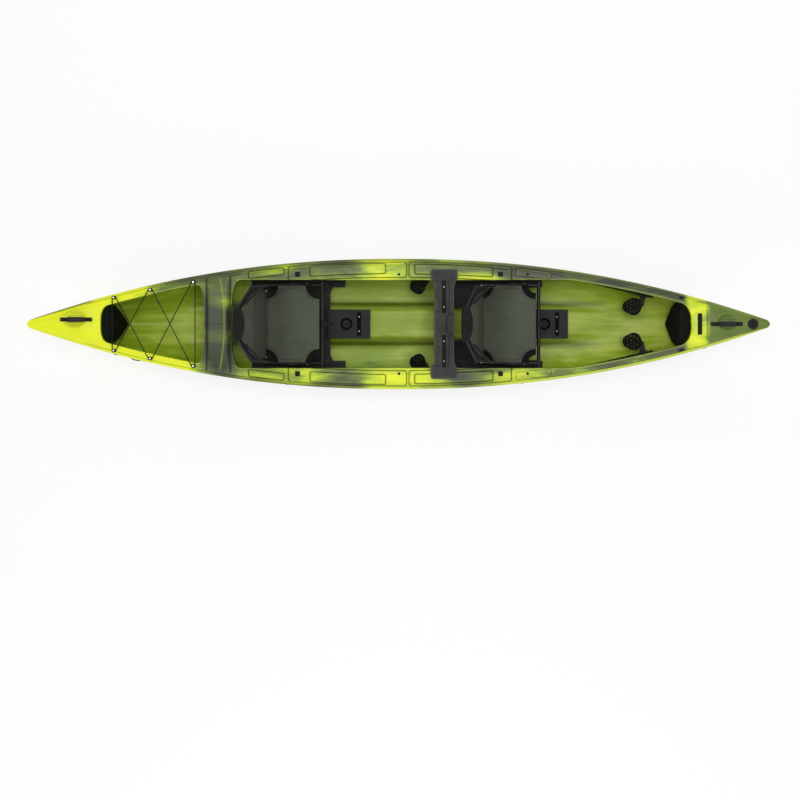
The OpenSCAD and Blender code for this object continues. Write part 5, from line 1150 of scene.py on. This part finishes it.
def build_cords():
    """The trolley's line: two runs along the side at even distances below the seam, and half a turn round
    each sheave. Its shock cord: half turns round the stern eye and the stern block's post, and straight
    between them."""
    x = np.linspace(BOW_BLOCK, STERN_BLOCK, 61)[1:-1]
    reach = mix(LINE_OUT, BLOCK_OUT, ease((np.abs(x) - 1.0) / 0.6))

    def run(lift):
        z = seam(x) - TROLLEY_DROP + lift
        return np.stack([x, -side_half(x, z) - reach, z], -1)

    line = np.vstack([side_turn(BOW_BLOCK, SHEAVE, -90, 90), run(SHEAVE),
                      side_turn(STERN_BLOCK, SHEAVE, 90, 270), run(-SHEAVE)[::-1]])
    cord_loop("trolley_cord", line, LINE_RADIUS, (0, 1, 0), "hull", "trolley_line", 0.004, 8)
    loop = np.vstack([side_turn(TROLLEY_EYE, POST, 90, 270), side_turn(STERN_BLOCK, POST, -90, 90, BECKET)])
    cord_loop("trolley_shock_cord", loop, LINE_RADIUS, (0, 1, 0), "hull", "trolley_shock_loop", 0.002, 10)


def build_lacing():
    """The stern cord: straight from post to post round each post's outer side, lifted or lowered where it
    crosses."""
    mesh = np.array([v.co for v in frame["nodes"]["stern_bungee"].data.vertices])
    hooks = []
    for x, d in STERN_HOOKS:
        y = float(half_beam(np.array(x))) - d
        near = mesh[np.hypot(mesh[:, 0] - x, mesh[:, 1] - y) < 0.016]
        hooks.append(np.array([x, y, (near[:, 2].min() + near[:, 2].max()) / 2]))
    order = [(0, 1), (1, -1), (2, 1), (2, -1), (1, 1), (0, -1)]
    posts = np.array([hooks[k] * [1, s, 1] for k, s in order])
    lift = [-1, 1, 0, -1, 1, 0]
    radius, cord = 0.0103, 0.006
    turns = []
    for here, after, before in zip(posts, np.roll(posts, -1, 0), np.roll(posts, 1, 0)):
        to_next, to_last = after - here, before - here
        away = -(direction(to_next) + direction(to_last))
        middle = np.arctan2(away[1], away[0])
        ends = np.array([np.arctan2(q[1], q[0]) for q in (to_last, to_next)])
        ends = (ends - middle + np.pi) % (2 * np.pi) - np.pi
        ends = ends - np.sign(ends) * np.pi / 2
        a = middle + np.linspace(*ends, 7)
        turns.append(here + radius * np.stack([np.cos(a), np.sin(a), 0 * a], -1))
    path = []
    t = np.linspace(0, 1, 12)[1:-1, None]
    for i, turn in enumerate(turns):
        hump = lift[i] * 0.6 * cord * bell(t - 0.5, 0.16)
        path += [turn, mix(turn[-1], turns[(i + 1) % len(turns)][0], t) + np.array([0, 0, 1]) * hump]
    cord_loop("stern_cord", np.vstack(path), cord / 2, (0, 0, 1), "hull", "stern_bungee", 0.002, 12)


build_cords()
build_lacing()

# CAD nodes that stay as they are take their slot's look
slot_of = {s["node"]: s["material_slot"] for s in frame["record"]["subparts"]}
own = {"thwart_screws": dark_steel, "console_screws": dark_steel, "foot_rail_bolts": dark_steel,
       "spare_hole_screws": dark_steel, "handle_screws": black_steel, "deck_screws": deck_steel,
       "thwart_tracks": bar_track, "rear_seat_base": base_black, "front_seat_base": base_black}
for name, node in frame["nodes"].items():
    node.data.materials.clear()
    node.data.materials.append(own.get(name, looks[slot_of[name]]))


# Studio: pale floor, soft light from above and the photo's view from straight overhead
def build_stage():
    """A pale floor that glows a little for the camera, so that it meets the background without an edge."""
    size, level = 40.0, -0.001
    mesh = bpy.data.meshes.new("floor")
    corners = [(x * size, y * size, level) for x, y in ((-1, -1), (1, -1), (1, 1), (-1, 1))]
    mesh.from_pydata(corners, [], [(0, 1, 2, 3)])
    paint = Paint("floor", Roughness=0.9, Base_Color=(0.93, 0.93, 0.92, 1))
    glow = paint.node("Emission", Color=(1, 1, 1, 1), Strength=1.0)
    matt = Value(paint, paint.shader.outputs[0])
    blend = paint.node("MixShader", Fac=paint.backdrop() * 0.8, Shader=matt, Shader_001=glow)
    paint.fill(paint.tree.nodes["Material Output"].inputs["Surface"], blend)
    mesh.materials.append(paint.material)
    add_object("floor", mesh)


def area_light(name, place, aim, size, power):
    lamp = bpy.data.lights.new(name, "AREA")
    lamp.shape, lamp.size, lamp.size_y, lamp.energy = "RECTANGLE", size[0], size[1], power
    piece = add_object(name, lamp)
    piece.location = place
    piece.rotation_euler = (Vector(aim) - Vector(place)).to_track_quat("-Z", "Y").to_euler()
    piece.visible_camera = False


build_stage()
area_light("overhead", (0.4, 1.2, 9.0), (0, 0, 0.2), (7.0, 3.5), 430)
area_light("starboard", (0.0, -6.5, 3.2), (0, 0, 0.2), (8.0, 2.5), 200)
area_light("port", (0.5, 6.5, 3.6), (0, 0, 0.2), (8.0, 2.5), 100)
studio = Paint("studio", bpy.data.worlds.new("studio"), Color=(1, 1, 1, 1))
studio.put("Strength", 0.34 + studio.backdrop() * 0.66)
bpy.context.scene.world = studio.material

camera = bpy.data.cameras.new("camera")
camera.lens, camera.sensor_width, camera.shift_y = 46.2, 36.0, -0.095
eye = add_object("camera", camera)
eye.location = (0.009, 0.0, 6.70)
bpy.context.scene.camera = eye
bpy.context.scene.view_settings.view_transform = "Standard"
